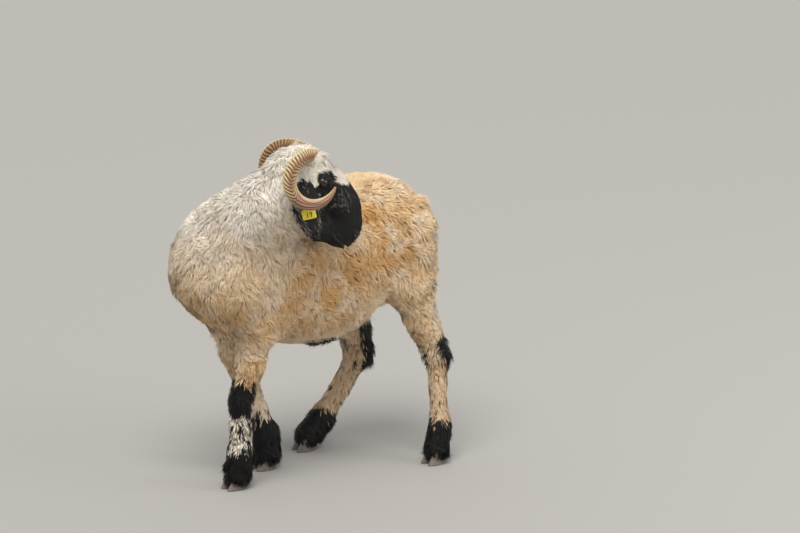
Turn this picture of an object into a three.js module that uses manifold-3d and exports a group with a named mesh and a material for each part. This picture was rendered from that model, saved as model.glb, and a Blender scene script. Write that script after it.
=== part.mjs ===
// A young black-nosed mountain sheep, life size and freshly shorn, with its head turned back over its left flank.
// Millimetres. +X points the way the chest faces, +Y to the animal's left, +Z up, and the claws stand on z = 0.
// The flesh is one smooth field, meshed part by part and parted with thin flat cuts.
// Horns, ears, claws and ear tag are lofted and set into it with a little clearance.
import * as THREE from "three";
import { mergeVertices } from "three/addons/utils/BufferGeometryUtils.js";
import Module from "manifold-3d";

const wasm = await Module();
wasm.setup();

// ---------- driving dimensions ----------
const BACK_HEIGHT = 750; // top of the coat along the back
const CHEST_END = 425; // foremost point of the breast
const RUMP_END = -314; // hindmost point of the rump
const CUT_GAP = 0.5; // width of the cuts between parts
const SEAT_GAP = 0.4; // clearance round what is set into the flesh
const HAIR_CLEARANCE = 9; // the hair of the feet ends this far above the floor
const MIDDLE = [47.6, 77.3]; // the middle of the animal on the floor, which becomes the origin

// Cross-sections of the trunk: height of its top and bottom edge and half its width, at each station along X.
const TRUNK = [
  { x: 410, top: 636, bottom: 462, half: 104 },
  { x: 350, top: 704, bottom: 412, half: 138 },
  { x: 270, top: 726, bottom: 376, half: 144 },
  { x: 180, top: BACK_HEIGHT - 10, bottom: 348, half: 150 },
  { x: 60, top: BACK_HEIGHT - 6, bottom: 331, half: 162 },
  { x: -50, top: BACK_HEIGHT - 2, bottom: 350, half: 164 },
  { x: -110, top: BACK_HEIGHT, bottom: 410, half: 156 },
  { x: -150, top: BACK_HEIGHT - 1, bottom: 448, half: 149 },
  { x: -210, top: BACK_HEIGHT - 14, bottom: 474, half: 138 },
  { x: -270, top: BACK_HEIGHT - 58, bottom: 490, half: 120 },
  { x: -320, top: BACK_HEIGHT - 130, bottom: 500, half: 96 },
];
const TRUNK_SQUARENESS = 2.25; // exponent of the cross-section: 2 is an ellipse
const END_ROUNDING = 170; // how far the breast and rump round over

// The neck leaves the chest, rises and turns back to the left: centre and radius at each point.
const NECK = [
  { at: [285, 10, 560], r: 144 },
  { at: [268, 50, 638], r: 116 },
  { at: [254, 106, 704], r: 98 },
  { at: [236, 150, 756], r: 78 },
  { at: [206, 172, 800], r: 62 },
];

// Each leg as a chain of joints from the trunk down: centre and radius. "narrow" thins its section from side to side.
// "parted" is the share of the way from the second joint to the third where the leg is parted from the trunk.
// "toe" is the spot on the floor between the claws, and "heading" how far they turn out to the left, in degrees.
const LEGS = {
  front_left: {
    narrow: 1.2,
    joints: [
      { name: "shoulder", at: [312, 92, 520], r: 84 },
      { name: "elbow", at: [256, 96, 420], r: 54 },
      { name: "forearm", at: [272, 86, 320], r: 42 },
      { name: "knee", at: [292, 76, 238], r: 34 },
      { name: "shin", at: [292, 68, 165], r: 29 },
      { name: "fetlock", at: [289, 62, 92], r: 34 },
      { name: "pastern", at: [298, 60, 36], r: 39 },
    ],
    parted: 0.75,
    toe: [310, 58],
    heading: 4,
  },
  front_right: {
    narrow: 1.2,
    joints: [
      { name: "shoulder", at: [308, -92, 520], r: 84 },
      { name: "elbow", at: [248, -92, 415], r: 54 },
      { name: "forearm", at: [226, -82, 315], r: 41 },
      { name: "knee", at: [196, -72, 236], r: 35 },
      { name: "shin", at: [172, -62, 165], r: 28 },
      { name: "fetlock", at: [148, -53, 92], r: 34 },
      { name: "pastern", at: [151, -48, 36], r: 40 },
    ],
    parted: 0.92,
    toe: [164, -46],
    heading: -4,
  },
  rear_left: {
    narrow: 1.15,
    joints: [
      { name: "hip", at: [-190, 88, 600], r: 84 },
      { name: "stifle", at: [-176, 110, 468], r: 62 },
      { name: "gaskin", at: [-222, 118, 360], r: 45 },
      { name: "hock", at: [-256, 122, 286], r: 36 },
      { name: "shank", at: [-256, 132, 200], r: 25 },
      { name: "fetlock", at: [-254, 144, 98], r: 30 },
      { name: "pastern", at: [-240, 150, 36], r: 36 },
    ],
    parted: 0.6,
    toe: [-228, 151],
    heading: 5,
  },
  rear_right: {
    narrow: 1.15,
    joints: [
      { name: "hip", at: [-180, -88, 595], r: 84 },
      { name: "stifle", at: [-134, -110, 448], r: 68 },
      { name: "gaskin", at: [-154, -122, 320], r: 48 },
      { name: "hock", at: [-180, -128, 240], r: 38 },
      { name: "shank", at: [-126, -131, 156], r: 29 },
      { name: "fetlock", at: [-70, -134, 84], r: 34 },
      { name: "pastern", at: [-28, -134, 38], r: 40 },
    ],
    parted: 0.85,
    toe: [-9, -133],
    heading: -5,
  },
};

const TAIL = [
  { at: [-278, 0, 646], r: 30 },
  { at: [-311, 0, 570], r: 27 },
  { at: [-316, 0, 440], r: 22 },
  { at: [-308, 0, 335], r: 13 },
];

// The head has a frame of its own: u runs from the poll to the nose, v to the head's left, w out of the forehead.
const HEAD_ORIGIN = [205, 185, 893];
const HEAD_YAW = 164; // degrees to the left of +X
const HEAD_PITCH = -59; // nose down

const EYE_RADIUS = 14;
const EYE_AT = [115, 47, 4]; // the left eye; the right one mirrors it

// A horn coils round an axis that lies across the head. It springs outward at once and then stays nearly in one plane.
const HORN = {
  centre: [75, -26], // u and w of that axis
  coil: [51, 60], // distance from the axis at the base and at the tip
  turn: [126, 402], // angle round the axis, from +u toward +w
  outward: [38, 121], // distance from the middle of the head
  spring: 6, // how fast it moves outward: 1 is an even helix
  radial: 18, // half the thickness at the base, measured from the axis outward
  lateral: 16, // half the thickness across
  tip: 2.5, // half the thickness at the tip
  fullness: 4.5, // how long it stays thick before it runs out to the tip
};

// Each ear as a leaf along a bent midline in the head's frame. The left one is pushed up by the wool of the withers.
const EARS = {
  left: {
    midline: [[70, 40, -32], [80, 82, -29], [84, 118, -27], [88, 150, -28]],
    across: [0.4, 0.1, 0.9],
    half: 25,
    cup: -6,
  },
  right: {
    midline: [[72, -40, -30], [104, -74, -50], [146, -96, -72], [190, -110, -88]],
    across: [0.5, -0.1, 0.86],
    half: 36,
    cup: -8,
  },
};
const EAR_THICKNESS = 4.5; // half the thickness of an ear with its hair

const CLAW = { length: 56, width: 25, height: 37, spacing: 13.2 };

const TAG = { at: 0.68, width: 34, height: 24, thickness: 1.8, stud: 3.2, button: 8 };

// ---------- small helpers ----------
const radians = THREE.MathUtils.degToRad;
const lerp = THREE.MathUtils.lerp;
const clamp = THREE.MathUtils.clamp;
const vector = (a) => new THREE.Vector3(...a);
const between = (a, b, t) => a.map((v, i) => lerp(v, b[i], t));
const direction = (a, b) => vector(b).sub(vector(a)).normalize().toArray();

// Smooth minimum and maximum: two fields flow into each other over a width k.
const smoothMin = (a, b, k) => {
  const h = Math.max(k - Math.abs(a - b), 0) / k;
  return Math.min(a, b) - (h * h * k) / 4;
};
const smoothMax = (a, b, k) => -smoothMin(-a, -b, k);

// ---------- fields ----------
// A field is a function of a point in millimetres: below zero inside the flesh.
const ball = (at, radii) => (p) => {
  const x = (p.x - at[0]) / radii[0];
  const y = (p.y - at[1]) / radii[1];
  const z = (p.z - at[2]) / radii[2];
  return (Math.hypot(x, y, z) - 1) * Math.min(...radii);
};

const limb = (a, b, ra, rb, narrow = 1) => {
  const start = vector(a);
  const along = vector(b).sub(start);
  const rest = new THREE.Vector3();
  return (p) => {
    rest.copy(p).sub(start);
    const t = clamp(rest.dot(along) / along.lengthSq(), 0, 1);
    rest.addScaledVector(along, -t);
    return Math.hypot(rest.x, rest.y * narrow, rest.z) - lerp(ra, rb, t);
  };
};

const blended = (k, ...fields) => (p) =>
  fields.map((f) => f(p)).reduce((a, b) => smoothMin(a, b, k));

const chain = (points, narrow, k) =>
  blended(
    k,
    ...points
      .slice(1)
      .map((q, i) => limb(points[i].at, q.at, points[i].r, q.r, narrow)),
  );

// A chain of short limbs along a curve through the points, for a part that bends smoothly.
const bentChain = (points, steps) => {
  const curve = new THREE.CatmullRomCurve3(points.map((q) => vector(q.at)));
  const made = [];
  for (let i = 0; i <= steps; i += 1) {
    const share = (i / steps) * (points.length - 1);
    const n = Math.min(Math.floor(share), points.length - 2);
    const r = lerp(points[n].r, points[n + 1].r, share - n);
    made.push({ at: curve.getPoint(i / steps).toArray(), r });
  }
  return chain(made, 1, 1);
};

// ---------- trunk ----------
const TABLE_STEPS = 240;
const trunkTable = (key) => {
  const curve = new THREE.SplineCurve(TRUNK.map((s) => new THREE.Vector2(s.x, s[key])));
  return curve.getPoints(TABLE_STEPS);
};
const lookUp = (table, x) => {
  const i = table.findIndex((point) => x >= point.x);
  if (i === 0) return table[0].y;
  if (i < 0) return table[table.length - 1].y;
  const t = (x - table[i].x) / (table[i - 1].x - table[i].x);
  return lerp(table[i].y, table[i - 1].y, t);
};
const trunkTop = trunkTable("top");
const trunkBottom = trunkTable("bottom");
const trunkHalf = trunkTable("half");

const trunk = (p) => {
  const top = lookUp(trunkTop, p.x);
  const bottom = lookUp(trunkBottom, p.x);
  const half = lookUp(trunkHalf, p.x);
  const tall = (top - bottom) / 2;
  const y = Math.abs(p.y) / half;
  const z = Math.abs(p.z - (top + bottom) / 2) / tall;
  const n = TRUNK_SQUARENESS;
  const section = ((y ** n + z ** n) ** (1 / n) - 1) * Math.min(half, tall);
  const ends = Math.max(p.x - CHEST_END, RUMP_END - p.x);
  return smoothMax(section, ends, END_ROUNDING);
};

// ---------- head ----------
const headFrame = new THREE.Matrix4()
  .makeTranslation(...HEAD_ORIGIN)
  .multiply(new THREE.Matrix4().makeRotationZ(radians(HEAD_YAW)))
  .multiply(new THREE.Matrix4().makeRotationY(radians(-HEAD_PITCH)));
const intoHead = headFrame.clone().invert();
const inHead = (field) => {
  const local = new THREE.Vector3();
  return (p) => field(local.copy(p).applyMatrix4(intoHead));
};
const fromHead = (at) => vector(at).applyMatrix4(headFrame);
const headDirection = (d) => vector(d).transformDirection(headFrame);

// Paired features lie at +v and -v, so the field folds the point onto the left side.
const paired = (field) => {
  const folded = new THREE.Vector3();
  return (p) => field(folded.set(p.x, Math.abs(p.y), p.z));
};

const skull = blended(
  24,
  ball([74, 0, -10], [54, 60, 52]), // cranium under its wool
  limb([77, 0, 8], [150, 0, 17], 44, 45, 0.88), // forehead
  limb([150, 0, 17], [206, 0, 21], 45, 42, 1.1), // the arched nose
  limb([206, 0, 21], [244, 0, 10], 42, 40, 1.1),
  ball([261, 0, -7], [40, 38, 40]), // muzzle
  paired(limb([118, 27, -56], [210, 16, -68], 41, 30)), // cheeks and jaw
  paired(limb([210, 16, -68], [252, 10, -42], 30, 21)),
  ball([272, 0, -28], [25, 24, 21]), // chin
  limb([52, 6, -44], [150, 16, -78], 50, 46), // nape to throat
);
const brows = paired(limb([98, 44, 16], [130, 43, 18], 14, 11));
const headField = inHead(blended(12, skull, brows));

// ---------- the whole coat ----------
const neckField = bentChain(NECK, 16);
const tailField = bentChain(TAIL, 8);
const legFields = Object.values(LEGS).map((leg) => chain(leg.joints, leg.narrow, 18));

const TRUNK_BLEND = 60;
const HEAD_BLEND = 34;
const LEG_BLEND = 34;
const TAIL_GAP = 2.5; // the tail hangs this far clear of the rump's facets

const neckAndHead = (p) => smoothMin(neckField(p), headField(p), HEAD_BLEND);
const withLegs = (p, d) => legFields.reduce((a, leg) => smoothMin(a, leg(p), LEG_BLEND), d);
const lowerBody = (p) => {
  const bare = smoothMin(trunk(p), neckField(p), TRUNK_BLEND);
  return Math.max(withLegs(p, bare), HAIR_CLEARANCE - p.z);
};
const hangingTail = (p) => Math.max(tailField(p), TAIL_GAP - lowerBody(p));
const neckRegion = (p) => Math.min(lowerBody(p), neckAndHead(p));

// ---------- meshing a field ----------
// One vertex in each cell that the surface crosses, set on the surface, and one square for each crossed grid edge.
const NEWTON_STEPS = 3;
const settle = (field, p, cell) => {
  const e = 0.5;
  const slope = new THREE.Vector3();
  const q = new THREE.Vector3();
  const home = p.clone();
  for (let i = 0; i < NEWTON_STEPS; i += 1) {
    const f = field(p);
    slope.set(
      field(q.set(p.x + e, p.y, p.z)) - field(q.set(p.x - e, p.y, p.z)),
      field(q.set(p.x, p.y + e, p.z)) - field(q.set(p.x, p.y - e, p.z)),
      field(q.set(p.x, p.y, p.z + e)) - field(q.set(p.x, p.y, p.z - e)),
    );
    slope.divideScalar(2 * e);
    const steep = slope.lengthSq();
    if (steep < 1e-6) break;
    p.addScaledVector(slope, -f / steep);
  }
  const moved = p.clone().sub(home);
  if (moved.length() > cell / 2) p.copy(home).add(moved.setLength(cell / 2));
  return p;
};

const closedGeometry = (positions, index) => {
  const geometry = new THREE.BufferGeometry();
  geometry.setAttribute("position", new THREE.Float32BufferAttribute(positions, 3));
  geometry.setIndex(index);
  return geometry;
};

const meshed = (field, low, high, cell) => {
  const n = low.map((v, i) => Math.ceil((high[i] - v) / cell) + 1);
  const at = (i, j, k) => (k * n[1] + j) * n[0] + i;
  const value = new Float64Array(n[0] * n[1] * n[2]);
  const p = new THREE.Vector3();
  for (let k = 0; k < n[2]; k += 1)
    for (let j = 0; j < n[1]; j += 1)
      for (let i = 0; i < n[0]; i += 1) {
        const rim = [i, j, k].some((v, a) => v === 0 || v === n[a] - 1);
        p.set(low[0] + i * cell, low[1] + j * cell, low[2] + k * cell);
        value[at(i, j, k)] = rim ? cell : field(p);
      }
  const positions = [];
  const vertexOf = new Map();
  for (let k = 0; k < n[2] - 1; k += 1)
    for (let j = 0; j < n[1] - 1; j += 1)
      for (let i = 0; i < n[0] - 1; i += 1) {
        const sum = new THREE.Vector3();
        let crossings = 0;
        const edge = (a, b) => {
          const va = value[at(i + a[0], j + a[1], k + a[2])];
          const vb = value[at(i + b[0], j + b[1], k + b[2])];
          if (va < 0 === vb < 0) return;
          const t = va / (va - vb);
          sum.x += i + lerp(a[0], b[0], t);
          sum.y += j + lerp(a[1], b[1], t);
          sum.z += k + lerp(a[2], b[2], t);
          crossings += 1;
        };
        for (const s of [0, 1])
          for (const t of [0, 1]) {
            edge([0, s, t], [1, s, t]);
            edge([s, 0, t], [s, 1, t]);
            edge([s, t, 0], [s, t, 1]);
          }
        if (!crossings) continue;
        sum.multiplyScalar(cell / crossings).add(vector(low));
        vertexOf.set(at(i, j, k), positions.length / 3);
        positions.push(...settle(field, sum, cell).toArray());
      }
  const index = [];
  const point = (v) => vector(positions.slice(v * 3, v * 3 + 3));
  const square = (corners, flip) => {
    const [a, b, c, d] = corners;
    const ring = flip ? [a, d, c, b] : [a, b, c, d];
    const [pa, pb, pc, pd] = ring.map(point);
    const short = pa.distanceTo(pc) < pb.distanceTo(pd);
    const [q, r, s, t] = short ? ring : [ring[1], ring[2], ring[3], ring[0]];
    index.push(q, r, s, q, s, t);
  };
  for (let k = 0; k < n[2] - 1; k += 1)
    for (let j = 0; j < n[1] - 1; j += 1)
      for (let i = 0; i < n[0] - 1; i += 1) {
        const here = value[at(i, j, k)] < 0;
        const cellAt = (di, dj, dk) => vertexOf.get(at(i + di, j + dj, k + dk));
        const home = cellAt(0, 0, 0);
        if (j && k && here !== value[at(i + 1, j, k)] < 0)
          square([cellAt(0, -1, -1), cellAt(0, 0, -1), home, cellAt(0, -1, 0)], !here);
        if (i && k && here !== value[at(i, j + 1, k)] < 0)
          square([cellAt(-1, 0, -1), cellAt(-1, 0, 0), home, cellAt(0, 0, -1)], !here);
        if (i && j && here !== value[at(i, j, k + 1)] < 0)
          square([cellAt(-1, -1, 0), cellAt(0, -1, 0), home, cellAt(-1, 0, 0)], !here);
      }
  return closedGeometry(positions, index);
};

// A closed skin over a row of rings, each with as many points as the next, with a fan over each end.
const lofted = (rings) => {
  const count = rings[0].length;
  const positions = rings.flat().flatMap((p) => p.toArray());
  const index = [];
  for (let r = 0; r < rings.length - 1; r += 1)
    for (let i = 0; i < count; i += 1) {
      const a = r * count + i;
      const b = r * count + ((i + 1) % count);
      index.push(a, b, b + count, a, b + count, a + count);
    }
  for (const end of [0, rings.length - 1]) {
    const middle = new THREE.Vector3();
    rings[end].forEach((p) => middle.addScaledVector(p, 1 / count));
    const m = positions.length / 3;
    positions.push(...middle.toArray());
    for (let i = 0; i < count; i += 1) {
      const a = end * count + i;
      const b = end * count + ((i + 1) % count);
      index.push(...(end ? [a, b, m] : [b, a, m]));
    }
  }
  return closedGeometry(positions, index);
};

// ---------- solids ----------
// A geometry as a solid for cutting and joining, turned outside out if its faces point inward.
const solidOf = (geometry) => {
  geometry.deleteAttribute("normal");
  geometry.deleteAttribute("uv");
  const merged = mergeVertices(geometry, 1e-4);
  const mesh = new wasm.Mesh({
    numProp: 3,
    vertProperties: Float32Array.from(merged.attributes.position.array),
    triVerts: Uint32Array.from(merged.index.array),
  });
  const solid = new wasm.Manifold(mesh);
  if (solid.volume() > 0) return solid;
  mesh.triVerts.reverse();
  return new wasm.Manifold(mesh);
};

// A solid as a geometry again. Corners closer than WELD become one, and the slivers between them go.
const WELD = 0.2;
const geometryOf = (solid) => {
  const { vertProperties, triVerts } = solid.getMesh();
  const welded = mergeVertices(closedGeometry(Array.from(vertProperties), Array.from(triVerts)), WELD);
  const corners = welded.index.array;
  const kept = [];
  for (let i = 0; i < corners.length; i += 3) {
    const [a, b, c] = corners.slice(i, i + 3);
    if (a !== b && b !== c && c !== a) kept.push(a, b, c);
  }
  welded.setIndex(kept);
  return welded;
};

// The largest of the bodies that a cut leaves.
const largest = (solid) => solid.decompose().reduce((a, b) => (a.volume() > b.volume() ? a : b));

// The block of space beyond a flat cut. "offset" moves its face along the cut's direction and its sides inward.
const beyond = (cut, offset) => {
  const toward = vector(cut.toward).normalize();
  const width = cut.width - 2 * offset;
  const box = new THREE.BoxGeometry(width, width, cut.reach);
  const placed = new THREE.Matrix4().compose(
    vector(cut.at).addScaledVector(toward, cut.reach / 2 + offset),
    new THREE.Quaternion().setFromUnitVectors(new THREE.Vector3(0, 0, 1), toward),
    new THREE.Vector3(1, 1, 1),
  );
  return solidOf(box.applyMatrix4(placed));
};
const keepBeyond = (solid, cut) => largest(solid.intersect(beyond(cut, CUT_GAP / 2)));
const dropBeyond = (solid, cut) => largest(solid.subtract(beyond(cut, -CUT_GAP / 2)));

const CUTS = {
  neck: { at: [280, 0, 662], toward: [0.46, 0.5, 0.8], width: 460, reach: 400 },
  head: {
    at: fromHead([120, 20, -84]).toArray(),
    toward: headDirection([0.25, -0.22, 0.94]).toArray(),
    width: 420,
    reach: 300,
  },
};
const LEG_BLOCK = { width: 128, reach: 420 };
const legCuts = (leg) => {
  const [, second, third, fourth, fifth] = leg.joints.map((joint) => joint.at);
  return {
    upper: { at: between(second, third, leg.parted), toward: direction(second, third), ...LEG_BLOCK },
    lower: { at: fourth, toward: direction(fourth, fifth), ...LEG_BLOCK },
  };
};

// ---------- what is set into the flesh ----------
const HORN_STATIONS = 22;
const HORN_SIDES = 10;
const horn = (side, grow) => {
  const angle = (t) => radians(lerp(HORN.turn[0], HORN.turn[1], t));
  const middle = (t) => {
    const r = lerp(HORN.coil[0], HORN.coil[1], t);
    const u = HORN.centre[0] + r * Math.cos(angle(t));
    const w = HORN.centre[1] + r * Math.sin(angle(t));
    const eased = 1 - (1 - t) ** HORN.spring;
    return [u, side * lerp(HORN.outward[0], HORN.outward[1], eased), w];
  };
  const rings = [];
  for (let s = 0; s <= HORN_STATIONS; s += 1) {
    const t = s / HORN_STATIONS;
    const taper = 1 - t ** HORN.fullness;
    const radial = HORN.tip + (HORN.radial - HORN.tip) * taper + grow;
    const lateral = HORN.tip + (HORN.lateral - HORN.tip) * taper + grow;
    const ring = [];
    for (let i = 0; i < HORN_SIDES; i += 1) {
      const a = (i / HORN_SIDES) * 2 * Math.PI;
      const outward = radial * Math.cos(a);
      const [u, v, w] = middle(t);
      const at = [
        u + outward * Math.cos(angle(t)),
        v + lateral * Math.sin(a),
        w + outward * Math.sin(angle(t)),
      ];
      ring.push(fromHead(at));
    }
    rings.push(ring);
  }
  return solidOf(lofted(rings));
};

const EAR_STATIONS = 11;
const EAR_SIDES = 10;
const earCurve = (ear) => new THREE.CatmullRomCurve3(ear.midline.map((at) => fromHead(at)));
const earFrame = (ear, t) => {
  const curve = earCurve(ear);
  const along = curve.getTangent(t);
  const across = headDirection(ear.across);
  across.addScaledVector(along, -across.dot(along)).normalize();
  return { at: curve.getPoint(t), across, out: new THREE.Vector3().crossVectors(along, across) };
};
const earPoint = (ear, t, a, grow) => {
  const { at, across, out } = earFrame(ear, t);
  const half = ear.half * Math.sqrt(Math.sin(Math.PI * lerp(0.13, 0.985, t)));
  const thin = EAR_THICKNESS * lerp(1.5, 0.6, t);
  const x = (half + grow) * Math.cos(a);
  const bend = ear.cup * (x / ear.half) ** 2;
  return at.addScaledVector(across, x).addScaledVector(out, (thin + grow) * Math.sin(a) + bend);
};
const ear = (shape, grow) => {
  const rings = [];
  for (let s = 0; s <= EAR_STATIONS; s += 1) {
    const ring = [];
    for (let i = 0; i < EAR_SIDES; i += 1) {
      ring.push(earPoint(shape, s / EAR_STATIONS, (i / EAR_SIDES) * 2 * Math.PI, grow));
    }
    rings.push(ring);
  }
  return solidOf(lofted(rings));
};

const eye = (side, grow) => {
  const ball = new THREE.SphereGeometry(EYE_RADIUS + grow, 12, 8);
  const at = fromHead([EYE_AT[0], side * EYE_AT[1], EYE_AT[2]]);
  return solidOf(ball.translate(at.x, at.y, at.z));
};

// A claw stands on its flat sole. Its outer wall bulges, its inner wall is straight and its back is low.
const CLAW_STATIONS = 3;
const CLAW_SIDES = 10;
const claw = (leg, side, grow) => {
  const placed = new THREE.Matrix4()
    .makeTranslation(leg.toe[0], leg.toe[1], 0)
    .multiply(new THREE.Matrix4().makeRotationZ(radians(leg.heading + side * 3)));
  const rings = [];
  for (let s = 0; s <= CLAW_STATIONS; s += 1) {
    const t = s / CLAW_STATIONS;
    const height = CLAW.height * t;
    const lean = -0.42 * height;
    const shrink = 1 - 0.22 * t;
    const ring = [];
    for (let i = 0; i < CLAW_SIDES; i += 1) {
      const a = (i / CLAW_SIDES) * 2 * Math.PI;
      const pointed = 1 - 0.28 * Math.max(Math.cos(a), 0) ** 3 * Math.abs(Math.sin(a));
      const x = (CLAW.length / 2 * shrink + grow) * Math.cos(a) + lean;
      const flat = Math.sin(a) * side < 0 ? 0.82 : 1;
      const y = (CLAW.width / 2 * shrink + grow) * Math.sin(a) * flat * pointed;
      const z = height + (s ? grow : -2 * grow);
      ring.push(new THREE.Vector3(x, y + side * CLAW.spacing, z).applyMatrix4(placed));
    }
    rings.push(ring);
  }
  return solidOf(lofted(rings));
};

// The tag: a plate outside the ear and a button behind it, on a stud through the ear.
const tagFrame = () => {
  const { at, across, out } = earFrame(EARS.right, TAG.at);
  return new THREE.Matrix4().makeBasis(new THREE.Vector3().crossVectors(across, out), across, out).setPosition(at);
};
const tagPiece = (geometry, height) => solidOf(geometry.translate(0, 0, height).applyMatrix4(tagFrame()));
const stud = (grow) => {
  const post = new THREE.CylinderGeometry(TAG.stud + grow, TAG.stud + grow, 26, 8);
  return tagPiece(post.rotateX(Math.PI / 2), 0);
};
const earTag = () => {
  const lift = EAR_THICKNESS * 1.3 + 1.2;
  const plate = new THREE.BoxGeometry(TAG.height, TAG.width, TAG.thickness);
  const button = new THREE.CylinderGeometry(TAG.button, TAG.button, TAG.thickness, 12);
  const post = new THREE.CylinderGeometry(TAG.stud, TAG.stud, 2 * lift, 8);
  return tagPiece(plate, lift)
    .add(tagPiece(button.rotateX(Math.PI / 2), -lift))
    .add(tagPiece(post.rotateX(Math.PI / 2), 0));
};

// ---------- parts ----------
const CELL = { trunk: 38, neck: 36, head: 20, upper: 26, lower: 21.5, tail: 20 };
const WOOL = 0xc4a273;
const CREAM = 0xd6ccb8;
const BLACK = 0x161412;
const HORN_BROWN = 0x9c7f58;

const parts = [];
const add = (name, solid, colour, roughness = 0.92) => {
  const material = new THREE.MeshStandardMaterial({ color: colour, roughness, metalness: 0 });
  const mesh = new THREE.Mesh(geometryOf(solid), material);
  mesh.name = name;
  parts.push(mesh);
};
const without = (solid, seats) => largest(seats.reduce((a, seat) => a.subtract(seat), solid));

const sides = { left: 1, right: -1 };
const hornSeats = Object.values(sides).map((side) => horn(side, SEAT_GAP));
const earSeats = Object.values(EARS).map((shape) => ear(shape, SEAT_GAP));
const eyeSeats = Object.values(sides).map((side) => eye(side, SEAT_GAP));

const allLegCuts = Object.values(LEGS).map(legCuts);
const bodyMesh = solidOf(meshed(lowerBody, [-410, -255, 220], [480, 230, 840], CELL.trunk));
const trunkOnly = [CUTS.neck, ...allLegCuts.map((c) => c.upper)].reduce(dropBeyond, bodyMesh);
add("trunk", without(trunkOnly, [...hornSeats, ...earSeats]), WOOL);

const neckMesh = solidOf(meshed(neckRegion, [60, -180, 420], [480, 300, 960], CELL.neck));
const neckOnly = dropBeyond(keepBeyond(neckMesh, CUTS.neck), CUTS.head);
add("neck", without(neckOnly, [...hornSeats, ...earSeats]), CREAM);

const headMesh = solidOf(meshed(neckAndHead, [-40, 15, 555], [330, 320, 980], CELL.head));
add("head", without(keepBeyond(headMesh, CUTS.head), [...hornSeats, ...earSeats, ...eyeSeats]), BLACK);

add("tail", largest(solidOf(meshed(hangingTail, [-380, -70, 280], [-200, 70, 700], CELL.tail))), WOOL);

for (const [name, leg] of Object.entries(LEGS)) {
  const cuts = legCuts(leg);
  const xs = leg.joints.slice(1).map((joint) => joint.at[0]);
  const ys = leg.joints.slice(1).map((joint) => joint.at[1]);
  const low = [Math.min(...xs) - 90, Math.min(...ys) - 95, -35];
  const high = [Math.max(...xs) + 90, Math.max(...ys) + 80, 470];
  const claws = Object.values(sides).map((side) => claw(leg, side, SEAT_GAP));
  const upperMesh = solidOf(meshed(lowerBody, low, high, CELL.upper));
  add(`${name}_upper_leg`, dropBeyond(keepBeyond(upperMesh, cuts.upper), cuts.lower), WOOL);
  const lowerMesh = solidOf(meshed(lowerBody, low, high, CELL.lower));
  add(`${name}_lower_leg`, without(keepBeyond(lowerMesh, cuts.lower), claws), BLACK);
  for (const [place, side] of Object.entries(sides)) {
    add(`${name}_${place}_claw`, claw(leg, side, 0), 0x4a443d, 0.6);
  }
}

for (const [place, side] of Object.entries(sides)) {
  add(`${place}_horn`, horn(side, 0), HORN_BROWN, 0.6);
  const hole = place === "right" ? [stud(SEAT_GAP)] : [];
  add(`${place}_ear`, without(ear(EARS[place], 0), hole), BLACK);
  add(`${place}_eye`, eye(side, 0), 0x2a1d10, 0.15);
}
add("ear_tag", earTag(), 0xe6d22a, 0.45);

const sheep = new THREE.Group();
sheep.name = "sheep";
sheep.add(...parts);
sheep.position.set(-MIDDLE[0], -MIDDLE[1], 0);
export default sheep;
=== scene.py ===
# %% [markdown]
# # A horned sheep in its wool
#
# The construction model is loaded first and never moved. It gives the outline to the tips of the coat.
# Everything made below lies inside that outline: a skin with a modelled face, a coat of solid locks,
# and the hard pieces, which are the horns, the eyes, the claws and the ear tag.

# %% Load the construction model
import math

import bpy
import numpy as np
from mathutils import Matrix, Vector
from mathutils.bvhtree import BVHTree
from mathutils.kdtree import KDTree


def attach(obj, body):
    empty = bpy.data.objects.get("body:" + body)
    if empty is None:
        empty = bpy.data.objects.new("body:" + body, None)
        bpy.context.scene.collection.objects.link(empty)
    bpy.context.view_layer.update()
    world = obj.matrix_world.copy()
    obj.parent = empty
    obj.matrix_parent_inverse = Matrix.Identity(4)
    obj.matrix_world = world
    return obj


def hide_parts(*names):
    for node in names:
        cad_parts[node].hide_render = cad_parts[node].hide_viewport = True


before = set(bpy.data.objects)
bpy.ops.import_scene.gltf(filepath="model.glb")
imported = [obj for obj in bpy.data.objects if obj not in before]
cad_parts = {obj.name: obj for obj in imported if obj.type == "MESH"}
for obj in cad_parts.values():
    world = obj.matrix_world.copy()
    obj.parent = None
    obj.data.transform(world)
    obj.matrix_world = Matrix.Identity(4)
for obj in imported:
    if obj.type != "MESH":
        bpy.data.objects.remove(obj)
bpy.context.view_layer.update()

# %% [markdown]
# ## Small tools
#
# Blender's meshes are read and written as numpy arrays, which is fast enough for a million triangles.
# A smooth step turns a measure into a mask with soft edges, and a sum of random waves gives a field that
# wanders smoothly over the body. All random numbers come from numbered seeds, so each run is the same.

# %% Numbers and fields
MM = 0.001


def unit(a):
    return a / np.maximum(np.linalg.norm(a, axis=-1, keepdims=True), 1e-9)


def rise(low, high, x):
    t = np.clip((x - low) / (high - low), 0, 1)
    return t * t * (3 - 2 * t)


def bell(x, width):
    return np.exp(-((x / width) ** 2))


def mix(a, b, t):
    return a + (b - a) * t


def wander(seed, size, waves=26):
    """A smooth random field whose bumps are about size metres across; its spread is about 1."""
    source = np.random.default_rng(seed)
    pace = source.uniform(0.6, 1.4, (waves, 1)) * 2 * math.pi / size
    ways = unit(source.normal(size=(waves, 3))) * pace
    start = source.uniform(0, 2 * math.pi, waves)
    return lambda p: np.sin(p @ ways.T + start).sum(1) / math.sqrt(waves / 2)


# %% Meshes as arrays
def read(collection, name, width, kind=np.float32):
    flat = np.empty(len(collection) * width, kind)
    collection.foreach_get(name, flat)
    return flat.reshape(-1, width) if width > 1 else flat


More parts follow.
